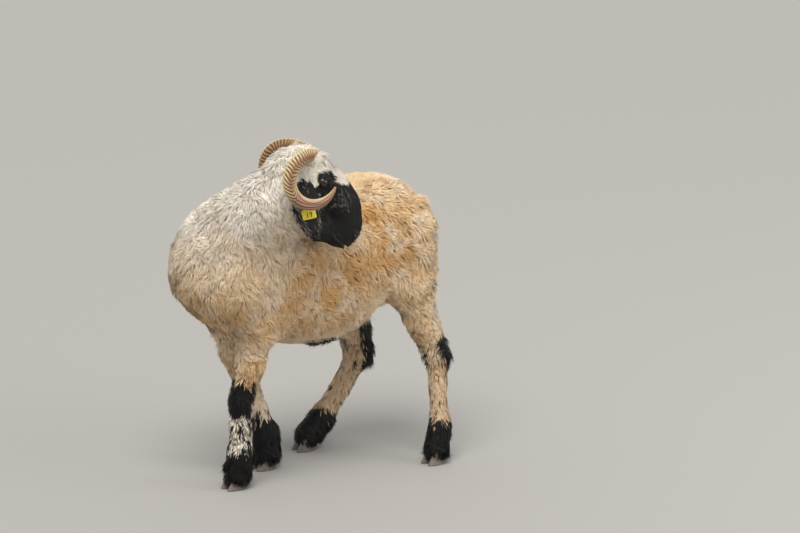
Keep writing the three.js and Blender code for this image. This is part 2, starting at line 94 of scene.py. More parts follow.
def new_piece(name, points, faces):
    mesh = bpy.data.meshes.new(name)
    if isinstance(faces, np.ndarray):
        mesh.vertices.add(len(points))
        mesh.vertices.foreach_set("co", np.asarray(points, np.float32).ravel())
        mesh.loops.add(faces.size)
        mesh.loops.foreach_set("vertex_index", faces.astype(np.int32).ravel())
        mesh.polygons.add(len(faces))
        starts = np.arange(0, faces.size, faces.shape[1], dtype=np.int32)
        mesh.polygons.foreach_set("loop_start", starts)
        mesh.update(calc_edges=True)
    else:
        mesh.from_pydata([tuple(p) for p in points], [], faces)
    mesh.shade_smooth()
    piece = bpy.data.objects.new(name, mesh)
    bpy.context.scene.collection.objects.link(piece)
    return piece


def set_points(mesh, points):
    mesh.vertices.foreach_set("co", np.asarray(points, np.float32).ravel())
    mesh.update()


def write_mask(mesh, name, values):
    mask = mesh.attributes.new(name, "FLOAT", "POINT")
    mask.data.foreach_set("value", np.asarray(values, np.float32).ravel())


def average_round(values, edges, times, share=0.5):
    """Each vertex takes on a share of its neighbours' mean, so that steps between parts become slopes."""
    count = len(values)
    table = values.reshape(count, -1)
    degree = np.bincount(edges.ravel(), minlength=count)[:, None]
    for _ in range(times):
        total = np.empty_like(table)
        for c in range(table.shape[1]):
            total[:, c] = np.bincount(edges[:, 0], table[edges[:, 1], c], count)
            total[:, c] += np.bincount(edges[:, 1], table[edges[:, 0], c], count)
        table = mix(table, total / degree, share)
    return table.reshape(values.shape)


# %% [markdown]
# ## The head's own directions
#
# The face is easiest to describe in the head's own frame: u runs from the poll to the nose, v to the
# animal's left and w up from the jaw to the bridge of the nose. The same origin and angles as in the
# construction model are used, so a place on the face is the same place in both.

# %% Head frame
MIDDLE = np.array([47.6, 77.3, 0.0])
HEAD_ORIGIN = (np.array([205, 185, 893]) - MIDDLE) * MM
yaw, pitch = math.radians(164), math.radians(-59)
HEAD_U = np.array([math.cos(yaw) * math.cos(pitch), math.sin(yaw) * math.cos(pitch), math.sin(pitch)])
HEAD_V = np.array([-math.sin(yaw), math.cos(yaw), 0.0])
HEAD_W = np.cross(HEAD_U, HEAD_V)
HEAD_AXES = np.array([HEAD_U, HEAD_V, HEAD_W])


def to_head(points):
    """Millimetres along u, v and w."""
    return (points - HEAD_ORIGIN) @ HEAD_AXES.T / MM


def from_head(places):
    return HEAD_ORIGIN + np.asarray(places, float) @ HEAD_AXES * MM


print("nose points along", HEAD_U.round(3), "and its bridge faces", HEAD_W.round(3))

# %% [markdown]
# ## One skin from the parts of flesh
#
# The construction model is divided by thin cuts. Each part is swollen a little so that the cuts close, and
# the Remesh modifier then turns them all into one even mesh of small squares. Averaging takes out the
# facets. The seats of the horns and ears are plugged first, so the skin runs smoothly under them.

# %% Gather the parts of flesh
LEGS = ["front_left", "front_right", "rear_left", "rear_right"]
FLESH = ["trunk", "neck", "head", "tail"]
FLESH += [f"{leg}_{part}" for leg in LEGS for part in ("upper_leg", "lower_leg")]
EARS = ["left_ear", "right_ear"]
SWELL = 1.6 * MM


def welded(node):
    """A node's corners and triangles, with the corners that lie at one place joined."""
    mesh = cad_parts[node].data
    mesh.calc_loop_triangles()
    points = read(mesh.vertices, "co", 3).astype(float)
    corners = read(mesh.loop_triangles, "vertices", 3, np.int32)
    _, first, same = np.unique(np.round(points * 1e5), axis=0, return_index=True, return_inverse=True)
    return points[first], same.ravel()[corners]


def corner_normals(points, triangles):
    a, b, c = (points[triangles[:, i]] for i in range(3))
    face = np.cross(b - a, c - a)
    total = np.stack([np.bincount(triangles.ravel(), np.repeat(face[:, i], 3), len(points)) for i in range(3)])
    return unit(total.T)


def ball(centre, radius, rows=12, columns=16):
    """A closed ball used as a plug, as points and triangles."""
    up = np.linspace(0, math.pi, rows + 1)[:, None]
    round_ = np.linspace(0, 2 * math.pi, columns, endpoint=False)[None, :]
    grid = np.stack([np.sin(up) * np.cos(round_), np.sin(up) * np.sin(round_), np.cos(up) + 0 * round_], -1)
    i, j = np.meshgrid(np.arange(rows), np.arange(columns), indexing="ij")
    here = i * columns + j
    beside = i * columns + (j + 1) % columns
    squares = np.stack([here, here + columns, beside + columns, beside], -1).reshape(-1, 4)
    triangles = np.concatenate([squares[:, [0, 1, 2]], squares[:, [0, 2, 3]]])
    return centre + grid.reshape(-1, 3) * radius, triangles


HORN_SEAT = [48, 42, 12]
EAR_SEAT = [78, 44, -34]
EYE = [115, 47, 4]
plugs = [ball(from_head([u, side * v, w]), radius * MM)
         for (u, v, w), radius in ((HORN_SEAT, 17), (EAR_SEAT, 15), (EYE, 14.5)) for side in (1, -1)]

shells, labels, offset = [], [], 0
for number, node in enumerate(FLESH):
    points, triangles = welded(node)
    shells.append((points, triangles))
    labels += [number] * len(triangles)
swollen = [(p + corner_normals(p, t) * SWELL, t) for p, t in shells] + plugs
starts = np.cumsum([0] + [len(p) for p, _ in swollen])
raw_points = np.concatenate([p for p, _ in swollen])
raw_faces = np.concatenate([t + s for (_, t), s in zip(swollen, starts)])
print(len(FLESH), "parts of flesh with", len(raw_faces), "triangles")

# %% Make them one mesh
VOXEL = 6 * MM
rough = new_piece("rough", raw_points, raw_faces)
remesh = rough.modifiers.new("one_skin", "REMESH")
remesh.mode = "VOXEL"
remesh.voxel_size = VOXEL
graph = bpy.context.evaluated_depsgraph_get()
skin_mesh = bpy.data.meshes.new_from_object(rough.evaluated_get(graph))
bpy.data.objects.remove(rough)
print("one mesh of", len(skin_mesh.polygons), "squares")

# %% Finer squares on the face
def refine(mesh, wanted):
    """Halve the squares whose middles are wanted."""
    import bmesh
    bm = bmesh.new()
    bm.from_mesh(mesh)
    middles = np.array([face.calc_center_median() for face in bm.faces])
    chosen = wanted(middles)
    edges = {edge for face, yes in zip(bm.faces, chosen) if yes for edge in face.edges}
    bmesh.ops.subdivide_edges(bm, edges=list(edges), cuts=1, use_grid_fill=True)
    bm.to_mesh(mesh)
    bm.free()


def on_face(points):
    u, v, w = to_head(points).T
    return (u > 84) & (u < 330) & (abs(v) < 75) & (w > -75) & (w < 75)


def at_features(points):
    u, v, w = to_head(points).T
    side = abs(v)
    eye = (abs(u - 116) < 26) & (side > 30) & (abs(w - 4) < 24)
    nose = (u > 262) & (w > -48) & (w < 34)
    mouth = (u > 236) & (w > -50) & (w < -16)
    return eye | nose | mouth


def edges_of(mesh):
    return read(mesh.edges, "vertices", 2, np.int32)


body = read(skin_mesh.vertices, "co", 3).astype(float)
body = average_round(body, edges_of(skin_mesh), 6)
set_points(skin_mesh, body)
refine(skin_mesh, on_face)
body = average_round(read(skin_mesh.vertices, "co", 3).astype(float), edges_of(skin_mesh), 2, 0.4)
set_points(skin_mesh, body)
refine(skin_mesh, at_features)
body = read(skin_mesh.vertices, "co", 3).astype(float)
print("skin mesh has", len(body), "corners")

# %% [markdown]
# ## How deep the coat is
#
# A sheep's wool stands two centimetres off the skin on the body, and its hair is only a few millimetres deep
# on the face and the cannons. Each corner of the skin looks up which part it belongs to, takes that part's
# depth, length and width of lock, and the values are averaged over the mesh so that one coat passes
# into the next. The skin is then drawn inward by the depth in small steps.

# %% The coat's measures, part by part
# depth of coat, length of a lock and width of a lock, in millimetres
COAT = {
    "trunk": (14, 25, 2.0),
    "neck": (13, 23, 1.8),
    "tail": (7, 25, 2.1),
    "upper_leg": (9.5, 17, 2.1),
    "lower_leg": (5.5, 13, 1.9),
    "poll": (10, 17, 1.7),
    "face": (2.6, 6.0, 1.3),
}
BODY_PARTS = list(COAT)


def part_of(name):
    for part in BODY_PARTS:
        if name.endswith(part):
            return BODY_PARTS.index(part)
    return BODY_PARTS.index("face")


flesh_points = np.concatenate([p for p, _ in shells])
shell_starts = np.cumsum([0] + [len(p) for p, _ in shells])
flesh_faces = np.concatenate([t + s for (_, t), s in zip(shells, shell_starts)])
outline = BVHTree.FromPolygons(flesh_points.tolist(), flesh_faces.tolist())
nearest = np.array([outline.find_nearest(Vector(p))[2] for p in body])
node_at = np.array(labels)[nearest]
measures = np.array([COAT[BODY_PARTS[part_of(FLESH[n])]] for n in node_at], float)

u, v, w = to_head(body).T
head_here = node_at == FLESH.index("head")
toward_face = rise(62, 112, u + 0.12 * abs(v) - 52 * rise(4, 56, w))[:, None]
head_measures = mix(np.array(COAT["poll"], float), np.array(COAT["face"], float), toward_face)
measures[head_here] = head_measures[head_here]
edges = edges_of(skin_mesh)
measures = average_round(measures, edges, 26)
mantle = bell((body[:, 0] - 0.21) / 0.11, 1) * bell((body[:, 2] - 0.55) / 0.10, 1)
measures[:, 1] += 11 * mantle
face_only = (head_here & (toward_face[:, 0] > 0.98))[:, None]
measures = np.where(face_only, head_measures, measures)
measures = average_round(measures, edges, 4)
print("coat depth from", measures[:, 0].min().round(1), "to", measures[:, 0].max().round(1), "mm")

# %% Draw the skin in under the coat
DRAWS = 5
for _ in range(DRAWS):
    normals = read(skin_mesh.vertex_normals, "vector", 3).astype(float)
    body = body - normals * (measures[:, :1] * MM + SWELL) / DRAWS
    relaxed = average_round(body, edges, 1, 0.35)
    body = np.where(face_only, mix(body, relaxed, 0.25), relaxed)
    set_points(skin_mesh, body)

# %% [markdown]
# ## The face
#
# The face is sculpted by moving corners of the skin. Round each eye they are drawn to a shell just outside
# the eyeball and pressed in behind it where the lids part, which leaves two lids with a real edge. The
# nostrils are slits that curl up and outward, the lips meet in a groove, and small folds lie over the nose.

# %% Distance to a line on the face
def off_line(places, line):
    """Distance in millimetres to a line of points, and how far along it the nearest place is, from 0 to 1."""
    line = np.asarray(line, float)
    best = np.full(len(places), 1e9)
    along = np.zeros(len(places))
    for i in range(len(line) - 1):
        a, b = line[i], line[i + 1]
        t = np.clip(((places - a) @ (b - a)) / ((b - a) @ (b - a)), 0, 1)
        gap = np.linalg.norm(places - a - t[:, None] * (b - a), axis=1)
        near = gap < best
        best[near] = gap[near]
        along[near] = (i + t[near]) / (len(line) - 1)
    return best, along


# %% Nostrils, lips and folds
NOSTRIL = [[300, 6, -9], [297, 11, -2], [291, 17, 6], [283, 22, 11], [277, 27, 9]]
MOUTH = [[310, -25], [292, -27], [270, -33], [246, -39]]
CREST = [[136, 46, -6], [170, 43, -8], [205, 36, -8]]
JAW = [[96, 40, -62], [130, 36, -62], [165, 32, -52]]
HOLLOW = [[150, 30, 30], [200, 26, 22], [255, 22, 12]]
CHEEK = [112, 46, -40]

normals = read(skin_mesh.vertex_normals, "vector", 3).astype(float)
places = to_head(body)
mirrored = places * [1, 0, 1] + abs(places) * [0, 1, 0]
push = np.zeros(len(body))

gap, along = off_line(mirrored, NOSTRIL)
wide = 3.4 * (1 - 0.35 * along)
push -= 9.0 * bell(gap, wide)
push += 2.2 * bell(gap - 7.5, 3.0)
nostril_gap = gap
on_side, along = off_line(places[:, [0, 2]], MOUTH)
fade = 1 - rise(0.86, 1.0, along)
push -= 3.0 * bell(on_side, 1.9) * fade * (1 - 0.8 * rise(296, 306, places[:, 0]))
push += 1.8 * bell(on_side - 6, 3.4) * fade
lip_gap = np.where(places[:, 0] > 236, on_side, 99)
cleft = bell(places[:, 1], 1.6) * rise(-27, -22, places[:, 2]) * (1 - rise(-8, 0, places[:, 2]))
push -= 2.0 * cleft * rise(280, 290, places[:, 0])
for line, lift, wide in ((CREST, 3.2, 8), (JAW, 2.4, 11), (HOLLOW, -3.0, 10)):
    gap, along = off_line(mirrored, line)
    push += lift * bell(gap, wide) * (1 - 0.5 * along)
push += 3.4 * bell(np.linalg.norm((mirrored - CHEEK) * [0.75, 0.6, 1], axis=1), 24)
gap = np.linalg.norm(mirrored - [139, 44, 1], axis=1)
push -= 3.4 * bell(gap, 7)
nose_folds = np.sin(places[:, 0] * 2 * math.pi / 9 + 0.08 * places[:, 1] ** 2 / 9)
over_nose = rise(236, 262, places[:, 0]) * rise(0, 16, places[:, 2]) * (1 - rise(276, 286, places[:, 0]))
push += 0.5 * nose_folds * over_nose
body = body + normals * push[:, None] * MM * (u > 100)[:, None]

# %% Eyelids
EYE_RADIUS = 14.0
LID = 1.6
OPENING = (12.2, 6.8)
for side in (1, -1):
    centre = from_head([EYE[0], side * EYE[1], EYE[2]])
    gaze = unit(from_head([0.24, side, 0.10]) - from_head([0, 0, 0]))
    level = unit(HEAD_U + 0.22 * HEAD_W - ((HEAD_U + 0.22 * HEAD_W) @ gaze) * gaze)
    upward = np.cross(gaze, level)
    upward = upward * np.sign(upward @ HEAD_W)
    reach = (body - centre) / MM
    away = np.linalg.norm(reach, axis=1)
    a, b, out = reach @ level, reach @ upward, reach @ gaze
    near = (away < 34) & (out > 0)
    grown = EYE_RADIUS / away * (1 - rise(18, 30, away)) + rise(18, 30, away)
    a, b = a * grown, b * grown
    almond = (a / OPENING[0]) ** 2 + (b / (OPENING[1] * np.where(b > 0, 1.08, 0.92))) ** 2
    inside = 1 - rise(0.78, 1.12, almond)
    spread = np.hypot(a, b * 1.15)
    hold = 1 - rise(14, 26, spread)
    lid = np.maximum(EYE_RADIUS + LID, away)
    shell = mix(lid, EYE_RADIUS - 3.0, inside)
    shell = shell + 1.0 * bell(almond - 1.5, 0.3) - 1.5 * bell(b - 11, 1.3) * bell(a, 13) - 0.9 * bell(b + 10, 1.3) * bell(a, 11)
    moved = centre + unit(reach) * mix(away, shell, hold)[:, None] * MM
    brow = 2.2 * bell(b - 17, 5) * bell(a, 16)
    moved = moved + gaze * (brow * MM)[:, None]
    body = np.where(near[:, None], moved, body)
set_points(skin_mesh, body)

# %% [markdown]
# ## The ears
#
# An ear is a leaf with a bent midline, cupped across, with a rolled edge. It is a loft of closed rings
# whose root lies inside the head, and it becomes part of the same skin.

# %% Loft and ears
def loft_faces(rings, sides):
    i, j = np.meshgrid(np.arange(rings - 1), np.arange(sides), indexing="ij")
    here = i * sides + j
    beside = i * sides + (j + 1) % sides
    return np.stack([here, beside, beside + sides, here + sides], -1).reshape(-1, 4)


def through(points, t):
    """A smooth curve through the given points, with t from 0 to 1."""
    points = np.asarray(points, float)
    padded = np.concatenate([[2 * points[0] - points[1]], points, [2 * points[-1] - points[-2]]])
    place = np.clip(np.asarray(t, float) * (len(points) - 1), 0, len(points) - 1 - 1e-9)
    i = place.astype(int)
    s = (place - i)[:, None]
    a, b, c, d = padded[i], padded[i + 1], padded[i + 2], padded[i + 3]
    return 0.5 * (2 * b + (c - a) * s + (2 * a - 5 * b + 4 * c - d) * s**2 + (3 * b - a - 3 * c + d) * s**3)


EAR_SHAPES = {
    "left": ([[70, 40, -32], [80, 82, -29], [84, 118, -27], [88, 150, -28]], [0.4, 0.1, 0.9], 24, -6),
    "right": ([[72, -40, -30], [104, -74, -50], [146, -96, -72], [190, -110, -88]], [0.5, -0.1, 0.86], 35, -8),
}
EAR_RINGS, EAR_SIDES, EAR_HALF_THICKNESS = 64, 36, 2.4


def ear(midline, across, half, cup):
    t = np.linspace(0, 1, EAR_RINGS)
    middle = through(midline, t)
    forward = unit(np.gradient(middle, axis=0))
    across = np.asarray(across, float)
    across = unit(across - (forward @ across)[:, None] * forward)
    out = np.cross(forward, across)
    round_ = np.linspace(0, 2 * math.pi, EAR_SIDES, endpoint=False)
    width = half * mix(0.40, 1, rise(0, 0.42, t)) * np.sqrt(np.sin(math.pi * mix(0.36, 0.998, t)))
    width = width[:, None]
    x = width * np.cos(round_)
    thick = EAR_HALF_THICKNESS * mix(3.4, 0.8, rise(-0.3, 0.5, t))[:, None]
    rolled = 1.2 * bell(abs(x) - width * 0.86, 3)
    veins = 0.5 * np.sin(x * 0.9 + 2 * t[:, None]) * (np.sin(round_) < 0)
    lift = (thick + rolled) * np.sin(round_) + cup * (x / half) ** 2 + veins
    rings = middle[:, None] + across[:, None] * x[..., None] + out[:, None] * lift[..., None]
    return from_head(rings.reshape(-1, 3)), loft_faces(EAR_RINGS, EAR_SIDES)


ears = {side: ear(*shape) for side, shape in EAR_SHAPES.items()}

# %% Join the ears to the skin
import bmesh


def join_shells(mesh, more):
    bm = bmesh.new()
    bm.from_mesh(mesh)
    for points, faces in more:
        corners = [bm.verts.new(p) for p in points]
        for face in faces:
            bm.faces.new([corners[i] for i in face])
        rows = len(points) // EAR_SIDES
        bm.faces.new([corners[i] for i in range(EAR_SIDES)][::-1])
        bm.faces.new([corners[(rows - 1) * EAR_SIDES + i] for i in range(EAR_SIDES)])
    bm.to_mesh(mesh)
    bm.free()


body_count = len(body)
join_shells(skin_mesh, ears.values())
EAR_COAT = (1.6, 7.0, 1.7)
ear_measures = np.array([EAR_COAT] * (len(skin_mesh.vertices) - body_count), float)
around = np.arange(len(ear_measures)) % EAR_SIDES * 2 * math.pi / EAR_SIDES
outer_half = np.arange(len(ear_measures)) // EAR_SIDES % EAR_RINGS > EAR_RINGS * 0.4
ear_rim = (abs(np.cos(around)) > 0.8) * outer_half
ear_measures[:, 1] += 8 * ear_rim
measures = np.concatenate([measures, ear_measures])
node_at = np.concatenate([node_at, np.full(len(ear_measures), len(FLESH))])
skin = bpy.data.objects.new("skin", skin_mesh)
bpy.context.scene.collection.objects.link(skin)
skin_mesh.name = "skin"
skin_mesh.shade_smooth()
body = read(skin_mesh.vertices, "co", 3).astype(float)
print("skin with ears:", len(skin_mesh.polygons), "faces")

# %% [markdown]
# ## An unwrap of the skin
#
# The skin is cut into flat charts by the directions its faces look in. The same map carries the coat: each
# lock takes a small patch at the place of its root, so a baked picture gives every lock its own colour.

# %% Unwrap the skin
bpy.context.view_layer.objects.active = skin
skin.select_set(True)
bpy.ops.object.mode_set(mode="EDIT")
bpy.ops.mesh.select_all(action="SELECT")
bpy.ops.uv.smart_project(angle_limit=math.radians(72), island_margin=0.002)
bpy.ops.object.mode_set(mode="OBJECT")
skin_mesh.uv_layers.active.name = "OFBake"
print("unwrap:", [layer.name for layer in skin_mesh.uv_layers])

# %% [markdown]
# ## Markings
#
# One function tells, for any place on the animal, how black, how creamy and how rusty the coat is there, and
# its rust mask also carries painted shade. The skin and every lock ask the same function, so their markings
# agree. The muzzle, the rings of the eyes, the ears, a knee, parts of the hocks and all four feet are black.
# The neck and poll are creamy white. The trunk is tan, browner on the ribs; the extra brown low on the front
# of the body and legs and on the hind cannons is painted shade. Random fields make the edges ragged.

# %% Where the coat is black, creamy or rusty
patchy = wander(3, 0.030)
ragged = wander(4, 0.012)
flecks = wander(5, 0.016)
mottled = wander(7, 0.075)
broad = wander(6, 0.160)


def axis_at(heights, xs, ys, z):
    """The middle of a leg at height z, in metres of the model's frame."""
    heights, xs, ys = (np.array(a, float)[::-1] for a in (heights, xs, ys))
    x = np.interp(z / MM, heights, xs) - MIDDLE[0]
    y = np.interp(z / MM, heights, ys) - MIDDLE[1]
    return x * MM, y * MM


LEG_LINES = {
    "front_left": ([420, 320, 238, 165, 92, 36], [256, 272, 292, 292, 289, 298], [96, 86, 76, 68, 62, 60]),
    "front_right": ([415, 315, 236, 165, 92, 36], [248, 226, 196, 172, 148, 151], [-92, -82, -72, -62, -53, -48]),
    "rear_left": ([468, 360, 286, 200, 98, 36], [-176, -222, -256, -256, -254, -240], [110, 118, 122, 132, 144, 150]),
    "rear_right": ([448, 320, 240, 156, 84, 38], [-134, -154, -180, -126, -70, -28], [-110, -122, -128, -131, -134, -134]),
}


def markings(points, leg, head_share):
    """Black and cream masks, and a rust mask that also carries painted shade low on the body. leg names the leg that a
    point belongs to, and is empty elsewhere.
    """
    wild = ragged(points) * 0.6 + patchy(points) * 0.6
    u, v, w = to_head(points).T
    side = abs(v)
    z = points[:, 2] / MM
    x, y = points[:, 0], points[:, 1]

    head_zone = rise(0.3, 0.6, head_share)
    edge = 118 + 46 * rise(14, 62, w) + 16 * bell(w + 22, 16) + 3.5 * wild
    mask = rise(-9, 7, u - edge) * head_zone * rise(-104, -90, w + 3 * wild)
    ring = np.hypot((u - 115) / 25, (w - 12) / 23) + 0.08 * wild
    mask = np.maximum(mask, (1 - rise(0.9, 1.12, ring)) * (side > 30))
    link = np.hypot((u - 126) / 12, (w + 12) / 16) + 0.12 * wild
    mask = np.maximum(mask, (1 - rise(0.8, 1.2, link)) * (side > 30))
    root = np.linalg.norm(np.stack([u - 86, side - 62, w + 50], 1), axis=1)
    mask = np.maximum(mask, 1 - rise(11, 19, root + 4 * wild))

    black = mask
    for name, line in LEG_LINES.items():
        here = leg == name
        ax, ay = axis_at(*line, points[:, 2])
        ahead, out = (x - ax) / MM, (y - ay) / MM
        if name == "front_left":
            boot = 1 - rise(94, 110, z + 7 * wild)
            knee = rise(184, 198, z + 6 * wild) * (1 - rise(278, 296, z + 8 * wild))
            knee = knee * rise(-16, -4, ahead + out * 0.55 + 4 * wild)
            mottle = rise(0.0, 0.5, flecks(points) + 0.4 * ragged(points)) * (z < 200)
            here_black = np.maximum(np.maximum(boot, knee), mottle * (z > 90))
        elif name == "front_right":
            here_black = 1 - rise(132, 152, z + 12 * wild)
        elif name == "rear_left":
            boot = 1 - rise(104, 128, z + 9 * wild)
            tuft = rise(240, 262, z + 6 * wild) * (1 - rise(326, 350, z)) * (1 - rise(-14, -4, ahead + 3 * wild))
            spots = rise(1.35, 1.75, flecks(points * 1.3)) * (z < 330)
            here_black = np.maximum(np.maximum(boot, tuft), spots)
        else:
            boot = 1 - rise(88, 112, z + 10 * wild - 0.25 * ahead)
            tuft = rise(206, 226, z + 8 * wild) * (1 - rise(380, 402, z)) * (1 - rise(-6, 6, ahead + 3 * wild))
            spots = rise(1.2, 1.6, flecks(points * 1.2)) * (z < 300)
            here_black = np.maximum(np.maximum(boot, tuft), spots)
        black = np.where(here, np.maximum(black, here_black), black)
    belly = bell((x - 0.012) / 0.054, 1) * bell((y + 0.036) / 0.030, 1) * (z < 400) * (leg == "")
    black = np.maximum(black, rise(0.35, 0.6, belly + 0.1 * wild))

    high = rise(545, 730, z + 22 * broad(points))
    forward = rise(-0.02, 0.28, x + 0.04 * broad(points + 1) + 0.02 * patchy(points))
    cream = high * forward
    cream = np.maximum(cream, rise(0.19, 0.37, x) * rise(480, 720, z) * 0.85)
    cream = np.maximum(cream, head_zone * rise(-100, -80, w))
    cannon = (leg != "") * (1 - rise(190, 260, z))
    paleness = np.select([leg == "front_left", leg == "front_right"], [0.85, 0.45], 0.22)
    cream = np.maximum(cream, paleness * cannon)
    cream = np.maximum(cream, 0.28 * rise(0.0, 1.8, mottled(points)) * (1 - head_zone))
    cream = np.maximum(cream, 0.30 * (1 - rise(350, 430, z)) * (leg == ""))
    ribs = bell((x + 0.06) / 0.19, 1) * bell((z - 600) / 120, 1) * (leg == "")
    brown_and_shade = ribs * (0.75 + 0.25 * broad(points)) + 0.12 * patchy(points) + 0.22 * rise(0.1, 1.3, -mottled(points))
    # Painted shade: the hind cannons are made darker and browner.
    brown_and_shade = brown_and_shade + 0.7 * cannon * np.char.startswith(leg, "rear")
    # Painted shade: the trunk and the legs get extra brown low down and toward the front, for the shade under the body.
    brown_and_shade = brown_and_shade + np.where(leg == "", 0.38, 0.18) * (1 - rise(430, 640, z)) * rise(-0.12, 0.06, x) + 0.10
    rust_and_shade = np.clip(brown_and_shade, 0, 1) * (1 - cream)
    return np.clip(black, 0, 1), np.clip(cream, 0, 1), rust_and_shade


def leg_names(nodes):
    words = np.array([next((leg for leg in LEGS if name.startswith(leg)), "") for name in FLESH + ["ear"]])
    return words[nodes]


is_head = (node_at == FLESH.index("head")).astype(float)
is_head = average_round(is_head, edges_of(skin_mesh), 6)
black, cream, rust_and_shade = markings(body, leg_names(node_at), is_head)
black[body_count:] = 1

# Long hair hangs over the claws, stands off the backs of the hocks and fringes the belly.
height = body[:, 2] / MM
leg_here = leg_names(node_at)
on_leg = leg_here != ""
foot = on_leg * (1 - rise(60, 125, height))
hock = black * np.where(leg_here == "rear_right", bell((height - 300) / 95, 1), 0)
hock = hock + black * np.where(leg_here == "rear_left", bell((height - 292) / 55, 1), 0)
fringe = black * (leg_here == "") * (1 - rise(360, 385, height)) * (node_at == FLESH.index("trunk"))
above_knee = np.char.startswith(leg_here, "front") * bell(height - 325, 50)
measures[:, 0] += 3.5 * foot + 5 * hock + 8 * fringe
measures[:, 1] += 7 * black * on_leg + 7 * foot + 14 * hock + 22 * fringe - 4 * above_knee

# Hair is shorter round the eyes and stands up round the horns.
HORN_AXIS = (47, 14)
u, v, w = to_head(body).T
eye_gap = np.linalg.norm(np.stack([u - EYE[0], abs(v) - EYE[1] - 6, w - EYE[2]], 1), axis=1)
measures[:, 1] *= mix(0.35, 1, rise(15, 40, eye_gap))
collar = bell(np.hypot(u - HORN_AXIS[0], w - HORN_AXIS[1]) - 23, 8) * (abs(v) > 24) * is_head
measures[:, 0] += 19 * collar
measures[:, 1] += 20 * collar
frost = 0.24 * bell(np.linalg.norm(np.stack([u - 184, abs(v) - 46, w - 16], 1), axis=1), 22)
frost = frost + 0.06 * bell(w + 40, 18) * bell(u - 150, 40)
frost[body_count:] = 0.05 + 0.35 * ear_rim
write_mask(skin_mesh, "black", black)
write_mask(skin_mesh, "cream", cream)
write_mask(skin_mesh, "rust_and_shade", rust_and_shade)
leather = np.maximum(1 - rise(5, 9, nostril_gap), 1 - rise(2.2, 4.5, lip_gap))
write_mask(skin_mesh, "leather", np.append(leather, np.zeros(len(body) - body_count)))
print("share of the skin that is black:", round(float(black.mean()), 2))

# %% [markdown]
# ## Finishes for skin and coat
#
# Three effects are node groups with named sockets. One turns the masks into the colour of the coat, darker at
# the root as painted shade for the depth of the coat and paler at the tip, for skin and locks alike. One draws
# the fine fibres within a lock. One is the lie of short flat hair on the skin, as a height for a bump. The
# shaders themselves stay in the materials.

# %% Node helpers
def paint(code):
    """A colour written as six hexadecimal digits, as the linear values that shaders take."""
    parts = [int(code[i:i + 2], 16) / 255 for i in (0, 2, 4)]
    return tuple(c / 12.92 if c <= 0.04045 else ((c + 0.055) / 1.055) ** 2.4 for c in parts) + (1.0,)


def add(tree, kind, place=(0, 0), **settings):
    node = tree.nodes.new(kind)
    node.location = place
    for key, value in settings.items():
        setattr(node, key, value)
    return node


def colour_mix(tree, share, first, second, blend="MIX"):
    """A mix of two colours; each input is a socket or a fixed value."""
    node = add(tree, "ShaderNodeMix", data_type="RGBA", blend_type=blend)
    for socket, value in ((node.inputs[0], share), (node.inputs[6], first), (node.inputs[7], second)):
        if isinstance(value, bpy.types.NodeSocket):
            tree.links.new(value, socket)
        else:
            socket.default_value = value
    return node.outputs[2]


def sum_of(tree, operation, *values):
    node = add(tree, "ShaderNodeMath", operation=operation)
    for socket, value in zip(node.inputs, values):
        if isinstance(value, bpy.types.NodeSocket):
            tree.links.new(value, socket)
        else:
            socket.default_value = value
    return node.outputs[0]


def new_group(name, inputs, outputs):
    """A node group with named sockets, given as name: kind or (kind, value)."""
    group = bpy.data.node_groups.new(name, "ShaderNodeTree")
    for direction, sockets in (("INPUT", inputs), ("OUTPUT", outputs)):
        for label, kind in sockets.items():
            kind, value = kind if isinstance(kind, tuple) else (kind, None)
            socket = group.interface.new_socket(label, in_out=direction, socket_type="NodeSocket" + kind)
            if value is not None:
                socket.default_value = value
    return group, add(group, "NodeGroupInput", (-900, 0)), add(group, "NodeGroupOutput", (900, 0))


def place_group(tree, group, **values):
    node = add(tree, "ShaderNodeGroup", node_tree=group)
    for label, value in values.items():
        socket = node.inputs[label.replace("_", " ")]
        if isinstance(value, bpy.types.NodeSocket):
            tree.links.new(value, socket)
        else:
            socket.default_value = value
    return node


def new_material(name):
    material = bpy.data.materials.new(name)
    material.use_nodes = True
    tree = material.node_tree
    return material, tree, tree.nodes["Principled BSDF"]


def mask_of(tree, name):
    return add(tree, "ShaderNodeAttribute", attribute_name=name).outputs["Fac"]


# %% The colour of the coat
# Each colour is darker at the root, a painted shade for the depth of the coat, and paler at the tip.
TAN_ROOT, TAN_TIP = paint("d3b083"), paint("f2dcba")
# The rust colours are real rusty wool and also the painted shade low on the body, through the rust mask.
RUST_AND_SHADE_ROOT, RUST_AND_SHADE_TIP = paint("b88549"), paint("dfb074")
CREAM_ROOT, CREAM_TIP = paint("f7ebd8"), paint("fff8ec")
BLACK_ROOT, BLACK_TIP = paint("040404"), paint("0f0d0d")

masks = {"Black": "Float", "Cream": "Float", "RustAndShade": "Float", "Tip": "Float", "Shade": ("Float", 0.5)}
coat_colour, given, made = new_group("coat_colour", masks, {"Color": "Color"})
tip = given.outputs["Tip"]
tan = colour_mix(coat_colour, tip, TAN_ROOT, TAN_TIP)
rusty_and_shaded = colour_mix(coat_colour, tip, RUST_AND_SHADE_ROOT, RUST_AND_SHADE_TIP)
creamy = colour_mix(coat_colour, tip, CREAM_ROOT, CREAM_TIP)
dark = colour_mix(coat_colour, tip, BLACK_ROOT, BLACK_TIP)
pale = colour_mix(coat_colour, given.outputs["RustAndShade"], tan, rusty_and_shaded)
pale = colour_mix(coat_colour, given.outputs["Cream"], pale, creamy)
shade = sum_of(coat_colour, "MULTIPLY_ADD", given.outputs["Shade"], 0.4, 0.82)
grey = add(coat_colour, "ShaderNodeCombineColor")
for channel in grey.inputs:
    coat_colour.links.new(shade, channel)
pale = colour_mix(coat_colour, 1.0, pale, grey.outputs[0], "MULTIPLY")
